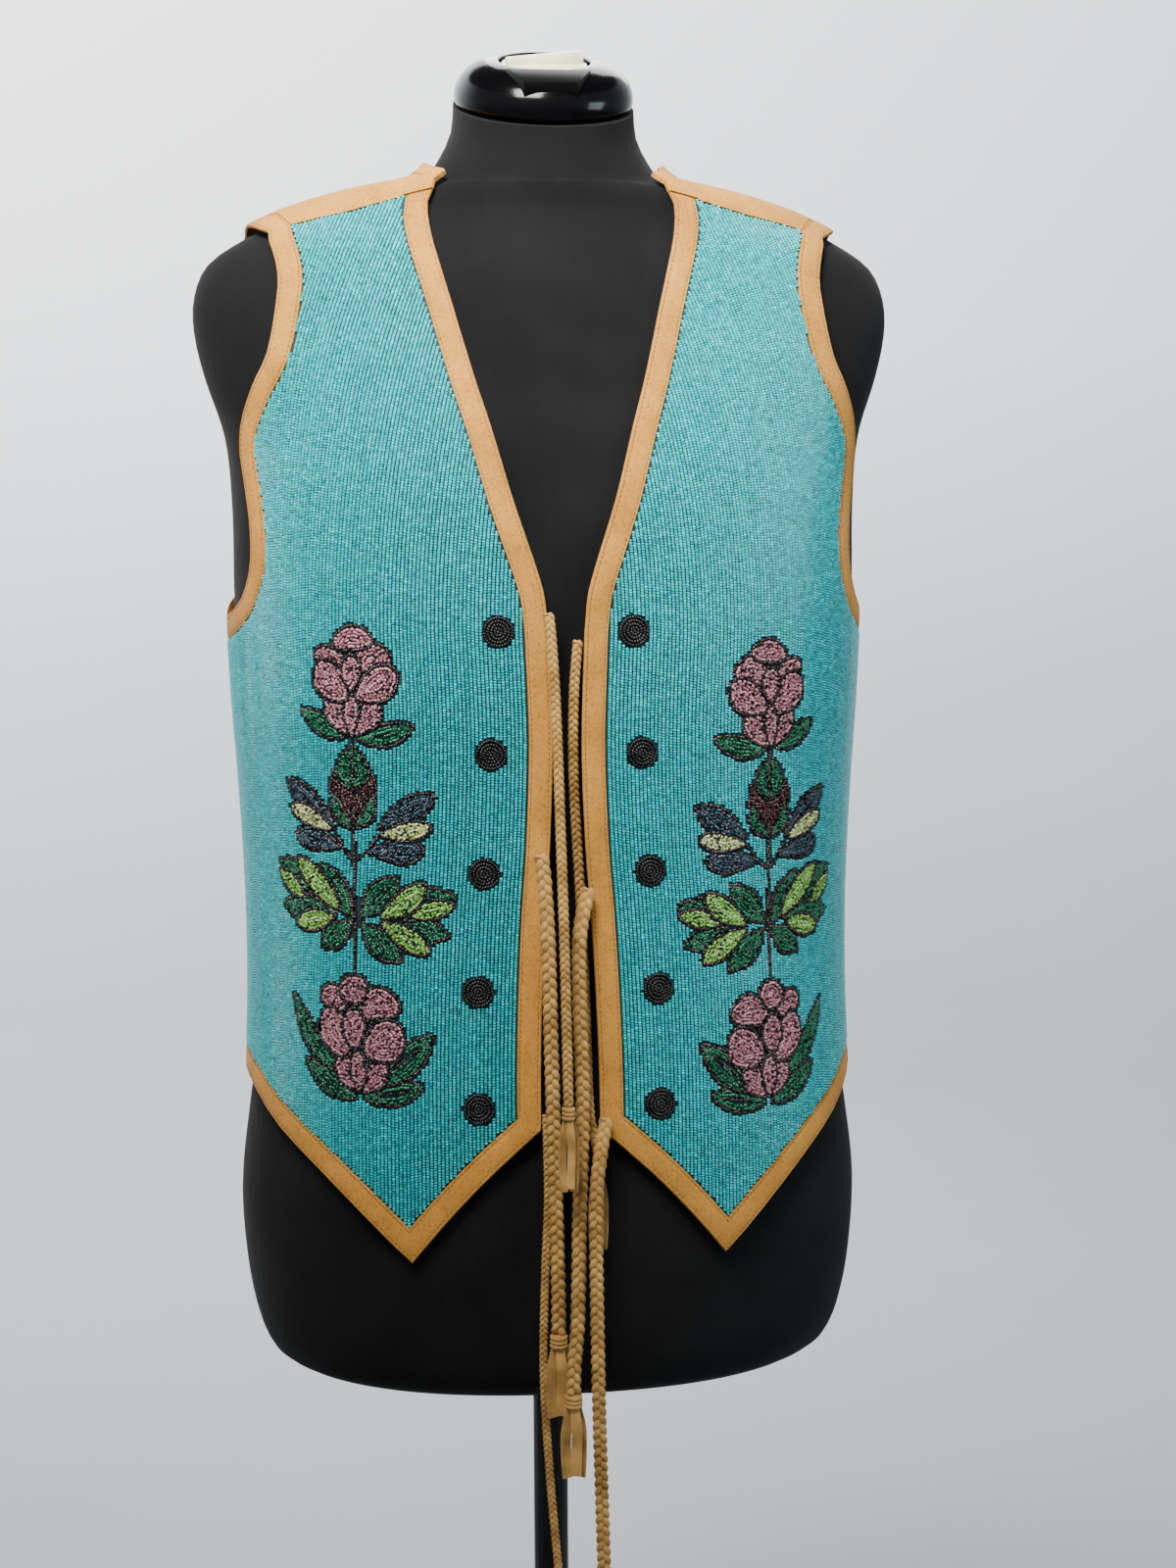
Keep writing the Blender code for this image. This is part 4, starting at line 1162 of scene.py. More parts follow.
    def spray(self) -> Strung:
        """The spray's beads: each lobe in rows from its outline inward, the nearest lobe first."""
        stem = self.chart.across(self.stem_turn, 1.05)
        top = float(self.cut.skin.along_at(self.spray_top - (0.0 if self.flip else self.left_spray_drop)))
        laid: list[Strung] = []
        held: list[Array] = []
        pitch = self.row_pitch / MM

        def lay(row: Array, tint: Colour, closed: bool, near: KDTree | None) -> None:
            """Lay a row of beads where no nearer lobe has any."""
            line = self.to_places(stem - row[:, 0] * MM, top + row[:, 1] * MM)
            spots = self.points(line)
            run = running(spots)
            count = max(1, round(run[-1] / self.bead_pitch)) if len(row) > 1 else 1
            at = np.linspace(0.0, run[-1], count + 1)[: count if closed else count + 1]
            here = np.stack([np.interp(at, run, line[:, k]) for k in (0, 1)], axis=-1)
            step = self.bead_pitch / 2
            before, after = (
                np.stack([np.interp(at + shift, run, spots[:, k]) for k in range(3)], axis=-1)
                for shift in (-step, step)
            )
            middle = self.points(here)
            free = np.array([near is None or near.find(spot)[2] > self.lobe_gap for spot in middle])
            tints = np.array(tint) * np.exp(self.chance.normal(0.0, 0.12, (len(at), 1)))
            way = (after - before) + np.array((0.0, 0.0, 1e-7))
            laid.append(Strung(here[free], way[free], tints[free]))
            held.append(middle[free])

        for rib in self.ribs:
            lay(smooth_line(rib), self.colours.outline, False, None)
        for lobe in self.lobes:
            near = tree_of(np.vstack(held))
            colours = self.colours.rows[lobe.kind]
            inset, k = pitch * 0.3, 0
            while lobe.width / 2 - inset > -0.5:
                tint = colours[(k - 1) % len(colours)] if k else self.colours.outline
                lay(self.lobe_row(lobe, inset), tint, lobe.width / 2 - inset >= 0.9, near)
                inset += pitch
                k += 1
        for stem_line in self.stems:
            near = tree_of(np.vstack(held))
            lay(smooth_line(stem_line), self.colours.rows[Thread.STEM][0], False, near)
        places, ahead, tints = (np.vstack(part) for part in zip(*laid))
        return Strung(places, ahead, np.clip(tints, 0.0, 1.0))

    def frames(self, strung: Strung) -> Array:
        """Each bead's axes: along its string, across it and out from the hide, with chance in each."""
        out = self.cut.normals(strung.places)
        count = len(out)
        out = unit(out + self.chance.normal(0.0, 0.05, (count, 3)))
        ahead = unit(strung.ahead + self.chance.normal(0.0, 0.03, (count, 3)))
        across = unit(np.cross(out, ahead))
        out = unit(np.cross(ahead, across))
        size = self.chance.normal(1.0, 0.035, (count, 3, 1))
        return np.stack((ahead, across, out), axis=1) * size

    def lay_down(
        self, name: str, strung: Strung, lift: Array | float, finish: bpy.types.Material, painted_shade_at_foot: float = 0.12
    ) -> bpy.types.Object:
        """Make one piece of strung beads.

        Args:
            name: the piece's name.
            strung: its beads.
            lift: how far the beads stand off their usual seat.
            finish: their finish.
            painted_shade_at_foot: share of the colour that is left at each bead's foot, painted shade down each bead's
                sides.

        Returns:
            The new object.
        """
        frames = self.frames(strung)
        centres = self.cut.skin.cloth(strung.places[:, 0], strung.places[:, 1], self.bead_seat + lift)
        piece = tiled(name, self.bead.shape(), centres, frames, strung.tints, finish, self.flip, painted_shade_at_foot)
        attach(piece, "root")
        LOG.info("%s: %d beads", name, len(centres))
        return piece

    def rosette(self, number: int, edge: Edge) -> tuple[bpy.types.Object, Array]:
        """One rosette: rings of black beads round a middle one, on a small raised pad.

        Args:
            number: its number from the top.
            edge: where its middle lies.

        Returns:
            The piece and its beads' points, at the hide.
        """
        centre = self.cut.places((edge,))[0]
        up = np.array((0.0, 0.0, 1.0))
        normal = self.cut.normals(centre[None])[0]
        side = unit(np.cross(up, normal))
        rise = np.cross(normal, side)
        places, ahead, lifts = [centre], [side], [1.55 * MM]
        rings = 4
        for ring in range(1, rings + 1):
            radius = (self.rosette_radius - 1.0 * MM) * ring / rings
            count = round(math.tau * radius / (self.bead_pitch * 1.02))
            for k in range(count):
                turn = math.tau * (k + 0.37 * ring) / count
                shift = side * (math.cos(turn) * radius) + rise * (math.sin(turn) * radius)
                places.append(self.cut.moved(centre[None], shift[None])[0])
                ahead.append(rise * math.cos(turn) - side * math.sin(turn))
                lifts.append(1.55 * MM - 0.9 * MM * (ring / rings) ** 2)
        shade = np.exp(self.chance.normal(0.0, 0.2, (len(places), 1)))
        strung = Strung(np.array(places), np.array(ahead), np.array(self.colours.black) * shade)
        name = f"{self.side}_rosette_beads_{number}"
        piece = self.lay_down(name, strung, np.array(lifts), self.wardrobe.jet)
        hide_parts(f"{self.side}_rosette_{number}")
        pad = bmesh.new()
        loops = []
        for share, lift in ((1.0, 0.0), (1.0, 0.0008), (0.6, 0.0016), (0.1, 0.0020)):
            turns = np.linspace(0.0, math.tau, 25)[:-1, None]
            shift = (side * np.cos(turns) + rise * np.sin(turns)) * (self.rosette_radius - 0.6 * MM) * share
            spots = self.cut.moved(np.repeat(centre[None], 24, axis=0), shift)
            loops.append(mirrored(self.cut.skin.cloth(spots[:, 0], spots[:, 1], self.bead_seat + lift), self.flip))
        loft(pad, loops)
        backing = finished(f"{self.side}_rosette_pad_{number}", pad, self.wardrobe.dark_thread)
        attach(backing, "root")
        return piece, self.points(strung.places)

    def panel(self) -> bpy.types.Object:
        """The hide under the beads, from the side seam to the bands, in dark teal painted shade for the gaps between
        beads.
        """
        _, inner = self.cut.outline(3, self.cut.band + 0.0003, 0.0003)
        front, top, armhole, seam, hem = inner
        top = self.cut.evenly(top, len(hem) - 1)
        side = np.vstack((seam[:-1], armhole))
        grid = between(hem, top, front, side)
        skin = self.cut.skin
        outer, under = (
            mirrored(skin.cloth(grid[..., 0], grid[..., 1], out), self.flip) for out in (self.panel_wall, 0.0)
        )
        piece = wall(f"{self.side}_front_hide", outer, under, self.wardrobe.backing)
        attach(piece, "root")
        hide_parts(f"{self.side}_beaded_front")
        return piece

    def build(self) -> list[bpy.types.Object]:
        """Make every piece of the front.

        Returns:
            The pieces, the hide first.
        """
        pieces = [self.panel()]
        taken = []
        for number, edge in enumerate(self.rosettes, 1):
            piece, points = self.rosette(number, edge)
            pieces.append(piece)
            taken.append(points)
        spray = self.spray()
        # The spray's beads keep more colour at their feet: lighter painted shade than the ground's beads.
        flowers = self.lay_down(f"{self.side}_spray_beads", spray, 0.2 * MM, self.wardrobe.beads, 0.45)
        pieces.append(flowers)
        taken.append(self.points(spray.places))
        ground = self.ground(np.vstack(taken))
        order = np.argsort(ground.places[:, 1], kind="stable")
        for part, chosen in zip(("lower", "middle", "upper"), np.array_split(order, 3)):
            strung = Strung(ground.places[chosen], ground.ahead[chosen], ground.tints[chosen])
            piece = self.lay_down(f"{self.side}_ground_beads_{part}", strung, 0.0, self.wardrobe.beads)
            pieces.append(piece)
        return pieces


class Rib(NamedTuple):
    """A line along a trim band: distance from its outer edge and height, in millimetres."""

    across: float
    height: float


@dataclass
class Trim:
    """The suede bands, the shoulder strips and their stitching."""

    cut: Cut
    wardrobe: Wardrobe
    side: str
    fine: int = 3
    ribs: tuple[Rib, ...] = (
        Rib(0.15, 0.9), Rib(0.35, 1.6), Rib(0.9, 2.05), Rib(1.5, 1.95), Rib(2.0, 1.75), Rib(2.6, 2.0), Rib(4.5, 2.15),
        Rib(7.0, 2.2), Rib(9.5, 2.15), Rib(11.6, 2.0), Rib(12.2, 1.75), Rib(12.8, 1.95), Rib(13.4, 2.0),
        Rib(13.75, 1.5), Rib(13.85, 0.9),
    )
    stitch_lines: tuple[float, ...] = (2.0, 12.2)
    stitch_pitch: float = 2.9 * MM
    stitch_length: float = 2.1 * MM
    stitch_width: float = 0.55 * MM

    @property
    def flip(self) -> bool:
        """True on the wearer's right."""
        return self.side == "right"

    def runs(self) -> dict[str, tuple[Array, Array]]:
        """Each band's outer and inner lines."""
        outer, inner = self.cut.outline(self.fine, self.cut.band, 0.0)
        front, _, armhole, _, hem = outer
        front_in, _, armhole_in, _, hem_in = inner
        tip = self.cut.line(self.cut.tip, 3 * self.fine)
        tip_in = self.cut.inset_open(tip, self.cut.band, armhole_in[-1])
        return {
            "front_band": (front, front_in),
            "hem_band": (hem, hem_in),
            "armhole_band": (np.vstack((armhole[:-1], tip)), np.vstack((armhole_in[:-1], tip_in))),
        }

    def band(self, name: str, outer: Array, inner: Array, lift: float = 0.0) -> bpy.types.Object:
        """One band with rounded edges and a dip under each line of stitches.

        Args:
            name: the band's name.
            outer: its outer line.
            inner: its inner line.
            lift: how far it stands off the vest's inner face.

        Returns:
            The new object.
        """
        share = np.array([rib.across * MM / self.cut.band for rib in self.ribs])[None, :, None]
        grid = outer[:, None] * (1 - share) + inner[:, None] * share
        height = np.array([rib.height * MM * (1 if not lift else 0.5) + lift for rib in self.ribs])[None, :]
        skin = self.cut.skin
        top = mirrored(skin.cloth(grid[..., 0], grid[..., 1], height), self.flip)
        under = mirrored(skin.cloth(grid[..., 0], grid[..., 1], lift), self.flip)
        piece = wall(f"{self.side}_{name}_suede", top, under, self.wardrobe.suede, 60.0)
        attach(piece, "root")
        return piece

    def neck_run(self, start: Array) -> tuple[Array, Array]:
        """The outer and inner lines of the trim round the neck to the middle of the back."""
        side = self.cut.line(self.cut.side_neck, 4 * self.fine)
        back = self.cut.line(self.cut.back_neck, 6 * self.fine)
        line = np.vstack((side, back[1:]))
        return line, self.cut.inset_open(line, -self.cut.band * 0.8, start, math.pi / 2)

    def stitches(self, runs: dict[str, tuple[Array, Array]]) -> bpy.types.Object:
        """Lines of running stitches along both edges of every band."""
        skin = self.cut.skin
        centres, frames = [], []
        heights = Curve([rib.across for rib in self.ribs], [(rib.height,) for rib in self.ribs])
        for outer, inner in runs.values():
            for across in self.stitch_lines:
                share = across * MM / self.cut.band
                line = outer * (1 - share) + inner * share
                out = float(heights.at(np.array(across))[0]) * MM + 0.05 * MM
                spots = skin.cloth(line[:, 0], line[:, 1], out)
                run = running(spots)
                at = np.arange(self.stitch_pitch, run[-1] - self.stitch_pitch / 2, self.stitch_pitch)
                here = np.stack([np.interp(at, run, spots[:, k]) for k in range(3)], axis=-1)
                ahead = unit(np.stack([np.interp(at + 0.001, run, spots[:, k]) for k in range(3)], axis=-1) - here)
                place = np.stack([np.interp(at, run, line[:, k]) for k in (0, 1)], axis=-1)
                normal = self.cut.normals(place)
                side = unit(np.cross(normal, ahead))
                centres.append(here)
                frames.append(np.stack((ahead, side, normal), axis=1))
        builder = bmesh.new()
        half, wide = self.stitch_length / 2, self.stitch_width / 2
        sides = 4
        rings = []
        for place, swell in ((-1.0, 0.35), (-0.55, 1.0), (0.55, 1.0), (1.0, 0.35)):
            turns = np.linspace(0.0, math.tau, sides + 1)[:-1] + math.pi / sides
            rings.append(np.stack((
                np.full(sides, place * half), np.cos(turns) * wide * swell, np.sin(turns) * wide * swell,
            ), axis=-1))
        loft(builder, rings)
        bmesh.ops.recalc_face_normals(builder, faces=builder.faces[:])
        centres, frames = np.vstack(centres), np.vstack(frames)
        tints = np.zeros((len(centres), 3))
        piece = tiled(
            f"{self.side}_stitches", mesh_arrays(builder), centres, frames, tints, self.wardrobe.thread, self.flip
        )
        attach(piece, "root")
        return piece

    def strip(self, runs: dict[str, tuple[Array, Array]]) -> bpy.types.Object:
        """The suede between the bands above the beads, up to the shoulder seam."""
        cut, fine = self.cut, self.fine
        _, inner = cut.outline(fine, cut.band, 0.0)
        count = 9 * fine
        start = runs["front_band"][0][-1]
        bottom = np.vstack((cut.evenly(np.vstack((start, inner[1][0])), fine)[:-1], cut.evenly(inner[1], 8 * fine)))
        tip_in = runs["armhole_band"][1][-(3 * fine + 1):]
        neck = cut.line(cut.side_neck, 3 * fine)
        top = cut.evenly(np.vstack((neck[-1], tip_in[-1])), count)
        grid = between(bottom, top, neck, tip_in)
        outer, under = (
            mirrored(cut.skin.cloth(grid[..., 0], grid[..., 1], out), self.flip) for out in (2.1 * MM, 0.0)
        )
        piece = wall(f"{self.side}_shoulder_strip_suede", outer, under, self.wardrobe.suede)
        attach(piece, "root")
        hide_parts(f"{self.side}_shoulder_strip")
        return piece

    def build(self) -> list[bpy.types.Object]:
        """Make the bands, the strip and the stitches."""
        runs = self.runs()
        pieces = []
        for name, (outer, inner) in runs.items():
            pieces.append(self.band(name, outer, inner))
            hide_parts(f"{self.side}_{name}")
        pieces.append(self.strip(runs))
        neck = self.neck_run(runs["front_band"][1][-1])
        pieces.append(self.band("neck_trim", *neck, 2.15 * MM))
        pieces.append(self.stitches(runs))
        return pieces


@dataclass
class Back:
    """The plain suede back."""

    cut: Cut
    wardrobe: Wardrobe
    wall_thickness: float = 2.1 * MM
    fine: int = 2

    def build(self) -> bpy.types.Object:
        """Make the back from one side seam round to the other."""
        cut, fine = self.cut, self.fine
        _, inner = cut.outline(fine, cut.band, 0.0)
        armhole_in = inner[2]
        hem = cut.line(cut.back_hem, 13 * fine)
        armhole = cut.line(cut.back_armhole, 15 * fine)
        side = np.vstack((cut.places(cut.hem_side[-1:]), inner[3], armhole))
        tip = cut.line(cut.tip, 3 * fine)
        tip_in = cut.inset_open(tip, cut.band, armhole_in[-1])
        neck_side = cut.places(cut.side_neck[-1:])
        seam = cut.evenly(np.vstack((tip_in[-1:], neck_side)), 9 * fine)
        neck = cut.line(cut.back_neck, 3 * fine)
        top = np.vstack((cut.evenly(np.vstack((armhole[-1:], seam[:1])), fine)[:-1], seam, neck[1:]))
        mirror = [np.stack((math.pi - line[::-1, 0], line[::-1, 1]), axis=-1) for line in (hem, top)]
        bottom_all = np.vstack((hem, mirror[0][1:]))
        top_all = np.vstack((top, mirror[1][1:]))
        right = np.stack((math.pi - side[:, 0], side[:, 1]), axis=-1)
        grid = between(bottom_all, top_all, side, right)
        outer, under = (cut.skin.cloth(grid[..., 0], grid[..., 1], out) for out in (self.wall_thickness, 0.0))
        piece = wall("back_suede", outer, under, self.wardrobe.suede)
        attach(piece, "root")
        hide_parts("back")
        return piece


@dataclass
class DressForm:
    """The padded body, its neck fittings, the pole and the base."""

    skin: Skin
    wardrobe: Wardrobe
    around: int = 112
    ring_spacing: float = 0.009

    def body(self) -> bpy.types.Object:
        """The jersey-covered body."""
        levels = [0.0]
        for low, high in zip(self.skin.levels, self.skin.levels[1:]):
            parts = math.ceil((high - low) / self.ring_spacing)
            levels += [low + (high - low) * (i + 1) / parts for i in range(parts)]
        angles = np.linspace(0.0, math.tau, self.around + 1)[:-1]
        rings = [self.skin.bare(angles, np.full(self.around, level)) for level in levels]
        builder = bmesh.new()
        loft(builder, rings)
        piece = finished("form_body", builder, self.wardrobe.jersey, 60.0)
        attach(piece, "root")
        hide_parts("torso")
        return piece

    def wedge(self, name: str, corners: Sequence[tuple[float, float, float]], place: Matrix,
              material: bpy.types.Material) -> bpy.types.Object:
        """A block from its four lower and four upper corners, with eased edges."""
        builder = bmesh.new()
        loft(builder, (np.array(corners[:4]), np.array(corners[4:])))
        bmesh.ops.transform(builder, matrix=place, verts=builder.verts[:])
        bmesh.ops.bevel(
            builder, geom=builder.edges[:], offset=0.0006, segments=2, affect="EDGES", profile=0.5, material=-1
        )
        return finished(name, builder, material, 35.0)

    def fittings(self) -> None:
        """The glossy dome in the neck, the dial in its well with a finger grip, and the tab before it."""
        top = self.skin.form[-1]
        seat = Matrix.Translation((0.0, top.centre, top.height)) @ Matrix.Rotation(math.atan(self.skin.neck_tilt), 4, "X")
        dome = (
            (0.0, 0.3), (49.6, 0.3), (51.0, 1.6), (51.6, 4.0), (51.7, 7.0), (51.1, 10.4), (49.8, 13.7), (47.7, 16.8),
            (44.9, 19.6), (41.4, 22.0), (37.4, 23.8), (33.6, 24.9), (30.0, 25.6), (27.6, 25.8), (26.6, 25.5),
            (26.2, 24.7), (26.2, 21.0), (0.0, 21.0),
        )
        disc = ((0.0, 21.2), (24.3, 21.2), (24.6, 21.6), (24.6, 24.0), (24.3, 24.4), (0.0, 24.4))
        cap, dial = (
            turned(name, [(r * MM, h * MM) for r, h in profile], 96, finish, seat)
            for name, profile, finish in (
                ("cap_dome", dome, self.wardrobe.gloss), ("dial_disc", disc, self.wardrobe.cream),
            )
        )
        grip = self.wedge(
            "dial_grip",
            [(x * MM, y * MM, h * MM) for x, y, h in (
                (-22.5, -2.9, 24.2), (22.5, -2.9, 24.2), (22.5, 2.9, 24.2), (-22.5, 2.9, 24.2),
                (-22.5, -2.3, 28.0), (22.5, -2.3, 31.6), (22.5, 2.3, 31.6), (-22.5, 2.3, 28.0),
            )],
            seat @ Matrix.Rotation(math.radians(9.0), 4, "Z"), self.wardrobe.cream,
        )
        tab = self.wedge(
            "cap_tab",
            [(x * MM, y * MM, h * MM) for x, y, h in (
                (-15.0, -47.0, 13.0), (15.0, -47.0, 13.0), (24.0, -27.5, 15.0), (-24.0, -27.5, 15.0),
                (-15.0, -47.0, 23.0), (15.0, -47.0, 23.0), (24.0, -27.5, 26.4), (-24.0, -27.5, 26.4),
            )],
            seat, self.wardrobe.satin,
        )
        for piece, slot, node in (
            (cap, "gloss_black", "neck_cap"), (dial, "cream_plastic", "neck_dial"),
            (grip, "cream_plastic", "neck_dial"), (tab, "gloss_black", "neck_tab"),
        ):
            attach(piece, "root")
            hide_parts(node)

    def dress_nodes(self) -> None:
        """Give the stand's CAD nodes their finish."""
        for name in ("base", "pole"):
            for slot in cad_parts[name].material_slots:
                slot.material = self.wardrobe.metal

    def build(self) -> None:
        """Make the body and its fittings and dress the rest."""
        self.body()
        self.fittings()
        self.dress_nodes()


class Route(NamedTuple):
    """A tie: its radius, points from the vest's edge down, and its strips."""

    radius: float
    points: tuple[tuple[float, float, float], ...]
    strips: int


@dataclass
class Ties:
    """Six braided leather ties with knotted, fringed ends."""

    wardrobe: Wardrobe
    knot_gap: float = 0.7 * MM
    head: float = 7.0 * MM
    strip_length: float = 40.0 * MM
    strip_thickness: float = 1.1 * MM
    lay_per_width: float = 1.95
    routes: dict[str, Route] = field(
        default_factory=lambda: {
            "upper_right": Route(
                0.0030,
                (
                    (-0.0100, -0.1308, 1.1600), (-0.0088, -0.1332, 1.1450), (-0.0076, -0.1370, 1.1200),
                    (-0.0066, -0.1410, 1.0850), (-0.0058, -0.1450, 1.0450), (-0.0050, -0.1490, 1.0050),
                    (-0.0042, -0.1507, 0.9637), (-0.0036, -0.1510, 0.9300), (-0.0030, -0.1510, 0.8950),
                ),
                3,
            ),
            "upper_left": Route(
                0.0030,
                (
                    (0.0062, -0.1264, 1.1450), (0.0040, -0.1264, 1.1200), (0.0034, -0.1252, 1.0950),
                    (0.0038, -0.1225, 1.0720), (0.0050, -0.1200, 1.0480), (0.0070, -0.1190, 1.0150),
                    (0.0085, -0.1195, 0.9800), (0.0095, -0.1218, 0.9500), (0.0098, -0.1252, 0.9250),
                    (0.0100, -0.1298, 0.9000), (0.0108, -0.1338, 0.8820), (0.0142, -0.1352, 0.8670),
                    (0.0146, -0.1354, 0.8580),
                ),
                3,
            ),
            "middle_right": Route(
                0.0043,
                (
                    (-0.0150, -0.1316, 1.0290), (-0.0136, -0.1348, 1.0130), (-0.0124, -0.1396, 0.9835),
                    (-0.0115, -0.1407, 0.9350), (-0.0107, -0.1407, 0.9026), (-0.0094, -0.1407, 0.8425),
                    (-0.0086, -0.1400, 0.8150), (-0.0080, -0.1386, 0.7874), (-0.0078, -0.1370, 0.7640),
                ),
                4,
            ),
            "middle_left": Route(
                0.0043,
                (
                    (0.0110, -0.1321, 1.0100), (0.0074, -0.1358, 0.9990), (0.0046, -0.1398, 0.9833),
                    (0.0042, -0.1407, 0.9617), (0.0054, -0.1407, 0.9185), (0.0060, -0.1407, 0.8967),
                    (0.0050, -0.1410, 0.8640), (0.0036, -0.1420, 0.8312), (0.0028, -0.1442, 0.7982),
                    (0.0018, -0.1460, 0.7706), (-0.0002, -0.1466, 0.7500), (-0.0008, -0.1466, 0.7330),
                ),
                5,
            ),
            "lower_right": Route(
                0.0025,
                (
                    (-0.0136, -0.1336, 0.8860), (-0.0132, -0.1342, 0.8700), (-0.0129, -0.1345, 0.8400),
                    (-0.0148, -0.1345, 0.7968), (-0.0160, -0.1345, 0.7412), (-0.0132, -0.1345, 0.6850),
                    (-0.0086, -0.1345, 0.6284), (-0.0070, -0.1345, 0.6120), (-0.0068, -0.1345, 0.6020),
                ),
                3,
            ),
            "lower_left": Route(
                0.0041,
                (
                    (0.0190, -0.1388, 0.8840), (0.0160, -0.1430, 0.8700), (0.0128, -0.1470, 0.8500),
                    (0.0120, -0.1478, 0.8273), (0.0125, -0.1478, 0.7723), (0.0134, -0.1478, 0.7169),
                    (0.0156, -0.1478, 0.6328), (0.0160, -0.1478, 0.6140), (0.0160, -0.1478, 0.6020),
                ),
                4,
            ),
        }
    )

    def centre_line(self, route: Route, spacing: float) -> Array:
        """Points along a tie's middle."""
        corners = np.array(route.points)
        knots = running(corners)
        return Curve(knots, corners).at(np.linspace(0.0, knots[-1], max(12, round(knots[-1] / spacing)) + 1))

    def braid(self, name: str, route: Route) -> bpy.types.Object:
        """Three flat strips plaited along a tie.

        Args:
            name: the tie's name.
            route: its route.

        Returns:
            The braid.
        """
        width = route.radius * 2
        line = self.centre_line(route, width * 0.22)
        run = running(line)
        ahead = unit(np.gradient(line, run, axis=0))
        side = unit(np.array((1.0, 0.0, 0.0)) - ahead * ahead[:, :1])
        depth = np.cross(ahead, side)
        lay = width * self.lay_per_width
        builder = bmesh.new()
        for strand in range(3):
            phase = math.tau * (run / lay + strand / 3)
            middle = line + side * (0.27 * width * np.sin(phase))[:, None]
            middle = middle + depth * (0.14 * width * np.sin(2 * phase))[:, None]
            way = unit(np.gradient(middle, run, axis=0))
            wide = unit(np.cross(way, depth))
            thin = np.cross(wide, way)
            turns = np.linspace(0.0, math.tau, 7)[:-1]
            rings = [
                m + w * 0.235 * width * np.cos(turns)[:, None] + t * 0.150 * width * np.sin(turns)[:, None]
                for m, w, t in zip(middle, wide, thin)
            ]
            loft(builder, rings)
        piece = finished(f"{name}_braid", builder, self.wardrobe.braid, 70.0)
        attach(piece, "root")
        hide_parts(name)
        return piece

    def fringe(self, name: str, route: Route) -> bpy.types.Object:
        """The knot under a tie and the flat strips that hang from it."""
        x, y, z = route.points[-1]
        radius = route.radius + 0.0008
        top = z - self.knot_gap
        low = top - self.head
        builder = bmesh.new()
        turns = np.linspace(0.0, math.tau, 15)[:-1]
        rings = []
        wraps = 3
        for k in range(4 * wraps + 1):
            height = top - self.head * k / (4 * wraps)
            swell = 0.86 + 0.14 * abs(math.sin(math.pi * k / 4))
            end = 0.55 if k in (0, 4 * wraps) else 1.0
            rings.append(np.stack((
                x + np.cos(turns) * radius * swell * end, y + np.sin(turns) * radius * swell * end,
                height + 0.0004 * np.sin(turns),
            ), axis=-1))
        loft(builder, rings)
        for k, (offset, depth, twist) in enumerate(((-0.62, 0.0, 16.0), (0.10, -0.85, -9.0), (0.66, 0.35, -22.0))):
            length = self.strip_length * (1.0 - 0.07 * (k % 2))
            rings = []
            for share in np.linspace(0.0, 1.0, 13):
                drop = math.sin(math.pi * share)
                half = radius * (0.42 + 0.16 * min(1.0, 4 * share))
                thick = self.strip_thickness / 2
                turn = math.radians(twist * (0.5 + 1.1 * share))
                centre = Vector((
                    x + radius * offset * (0.45 + 0.65 * min(1.0, 2.5 * share)) + 0.0009 * drop * math.copysign(1, offset),
                    y + radius * depth * min(1.0, 3 * share) - 0.0011 * math.sin(math.tau * share + k),
                    low + 0.0025 - (length + 0.0025) * share,
                ))
                rings.append(np.array([
                    centre + Vector((dx * math.cos(turn) - dy * math.sin(turn), dx * math.sin(turn) + dy * math.cos(turn), 0))
                    for dx, dy in ((-half, -thick), (half, -thick), (half, thick), (-half, thick))
                ]))
            loft(builder, rings)
        piece = finished(f"{name}_fringe", builder, self.wardrobe.braid, 40.0)
        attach(piece, "root")
        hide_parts(name)
        return piece

    def build(self) -> None:
        """Make every tie."""
        for key, route in self.routes.items():
            braid = self.braid(f"tie_{key}", route)
            fringe = self.fringe(f"tassel_{key}", route)
            line = self.centre_line(route, 0.003)


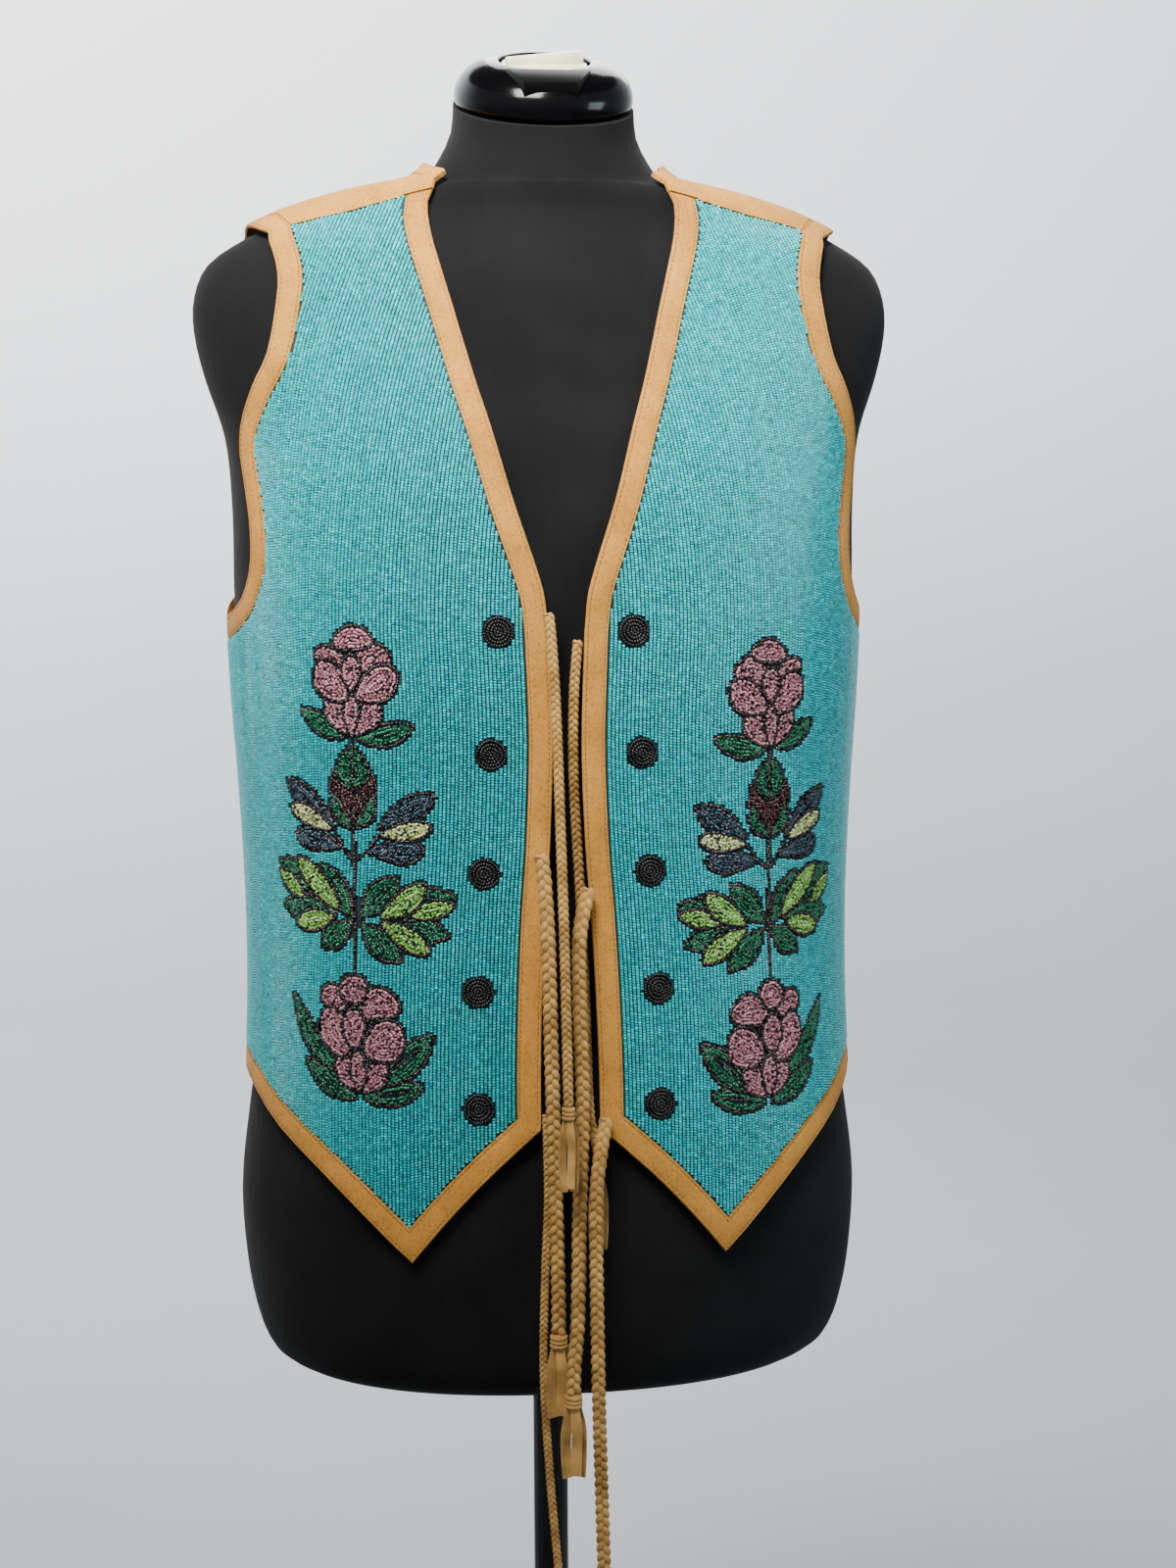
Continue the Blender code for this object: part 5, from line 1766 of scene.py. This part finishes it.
@dataclass
class Studio:
    """A pale floor, soft light and the camera."""

    lens: float = 54.0
    distance: float = 1.40
    azimuth: float = -5.3
    height: float = 1.19
    pitch: float = 5.5
    pan: float = 1.0265
    roll: float = -0.30

    def camera(self) -> None:
        """Set the camera at the photograph's height and angle."""
        data = bpy.data.cameras.new("camera")
        data.lens = self.lens
        data.sensor_width = 36.0
        camera = bpy.data.objects.new("camera", data)
        bpy.context.scene.collection.objects.link(camera)
        yaw = math.radians(self.azimuth)
        eye = Vector((math.sin(yaw) * self.distance, -math.cos(yaw) * self.distance, self.height))
        heading = math.atan2(-eye.y, -eye.x) - math.radians(self.pan)
        down = math.radians(self.pitch)
        ahead = Vector((math.cos(heading) * math.cos(down), math.sin(heading) * math.cos(down), -math.sin(down)))
        right = Vector((math.sin(heading), -math.cos(heading), 0.0))
        up = right.cross(ahead)
        turn = Matrix((right, up, -ahead)).transposed().to_4x4()
        camera.matrix_world = Matrix.Translation(eye) @ turn @ Matrix.Rotation(math.radians(self.roll), 4, "Z")
        bpy.context.scene.camera = camera

    def floor(self) -> None:
        """A plain pale floor that curves up far behind, with painted shade that darkens it toward the ground."""
        builder = bmesh.new()
        turns = np.linspace(0.0, math.tau, 65)[:-1]
        rings = []
        for radius, height in ((4.0, 0.0), (4.6, 0.06), (5.1, 0.3), (5.4, 0.8), (5.5, 1.6), (5.5, 6.0)):
            rings.append(np.stack((
                np.cos(turns) * radius, np.sin(turns) * radius, np.full(64, height),
            ), axis=-1))
        loft(builder, rings)
        bmesh.ops.delete(
            builder,
            geom=[face for face in builder.faces if len(face.verts) > 4 and face.calc_center_median().z > 1.0],
            context="FACES",
        )
        bmesh.ops.reverse_faces(builder, faces=builder.faces[:])
        paint = Finish("pale_floor", 0.95, Specular_IOR_Level=0.1)
        haze = paint.noise(1.3, 4.0)
        height = paint.node("ShaderNodeSeparateXYZ", {}, {0: paint.here()}, "Z")
        # Painted shade: the colour runs from grey on the floor to near white up the sweep, standing in for light
        # falling off low down.
        paint.colour(paint.ramp(height * 0.4 + haze * 0.08, (0.0, linear(170, 172, 174)), (0.75, linear(240, 241, 243))))
        sweep = finished("floor", builder, paint.material, 60.0, False)

    def lamp(
        self, name: str, place: Colour, aim: Colour, size: float, power: float, tint: Colour, spread: float = 180.0
    ) -> None:
        """One soft area light.

        Args:
            name: the lamp's name.
            place: where it stands.
            aim: the point it faces.
            size: the side of its square.
            power: its watts.
            tint: its colour.
            spread: the full angle of its beam in degrees.
        """
        data = bpy.data.lights.new(name, "AREA")
        data.shape = "SQUARE"
        data.size = size
        data.energy = power
        data.color = tint
        data.spread = math.radians(spread)
        lamp = bpy.data.objects.new(name, data)
        lamp.location = place
        lamp.rotation_euler = (Vector(aim) - Vector(place)).to_track_quat("-Z", "Y").to_euler()
        bpy.context.scene.collection.objects.link(lamp)

    def light(self) -> None:
        """Soft light from above and the photograph's left, with a weak fill."""
        world = bpy.data.worlds.new("studio")
        bpy.context.scene.world = world
        world.use_nodes = True
        world.node_tree.nodes["Background"].inputs["Color"].default_value = (0.86, 0.90, 0.96, 1.0)
        world.node_tree.nodes["Background"].inputs["Strength"].default_value = 0.07
        self.lamp("window", (-0.30, -0.72, 2.15), (0.0, 0.0, 1.42), 0.5, 8.6, (1.0, 0.975, 0.94), 60.0)
        self.lamp("fill", (1.7, -0.85, 1.5), (0.1, 0.0, 1.05), 0.7, 17.0, (0.80, 0.93, 1.0))
        self.lamp("rim", (0.6, 2.2, 3.2), (0.0, 0.0, 1.3), 1.5, 42.0, (1.0, 1.0, 1.0))
        self.lamp("backdrop", (-1.2, 1.2, 4.4), (-1.8, 5.6, 3.9), 2.2, 700.0, (0.97, 0.985, 1.0))

    def build(self) -> None:
        """Set the camera, the floor and the lights."""
        self.camera()
        self.floor()
        self.light()


def main() -> None:
    """Build and dress every piece in order."""
    logging.basicConfig(level=logging.INFO, format="%(message)s")
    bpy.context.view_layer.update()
    Studio().build()
    wardrobe = Wardrobe()
    skin = Skin()
    cut = Cut(skin)
    Ties(wardrobe).build()
    DressForm(skin, wardrobe).build()
    back = Back(cut, wardrobe).build()
    chart = Chart(skin, 0.785, 1.402)
    for side in ("left", "right"):
        hide, *_ = BeadedFront(cut, chart, wardrobe, side).build()
        front, hem, armhole, strip, neck, _ = Trim(cut, wardrobe, side).build()


if __name__ == "__main__":
    main()
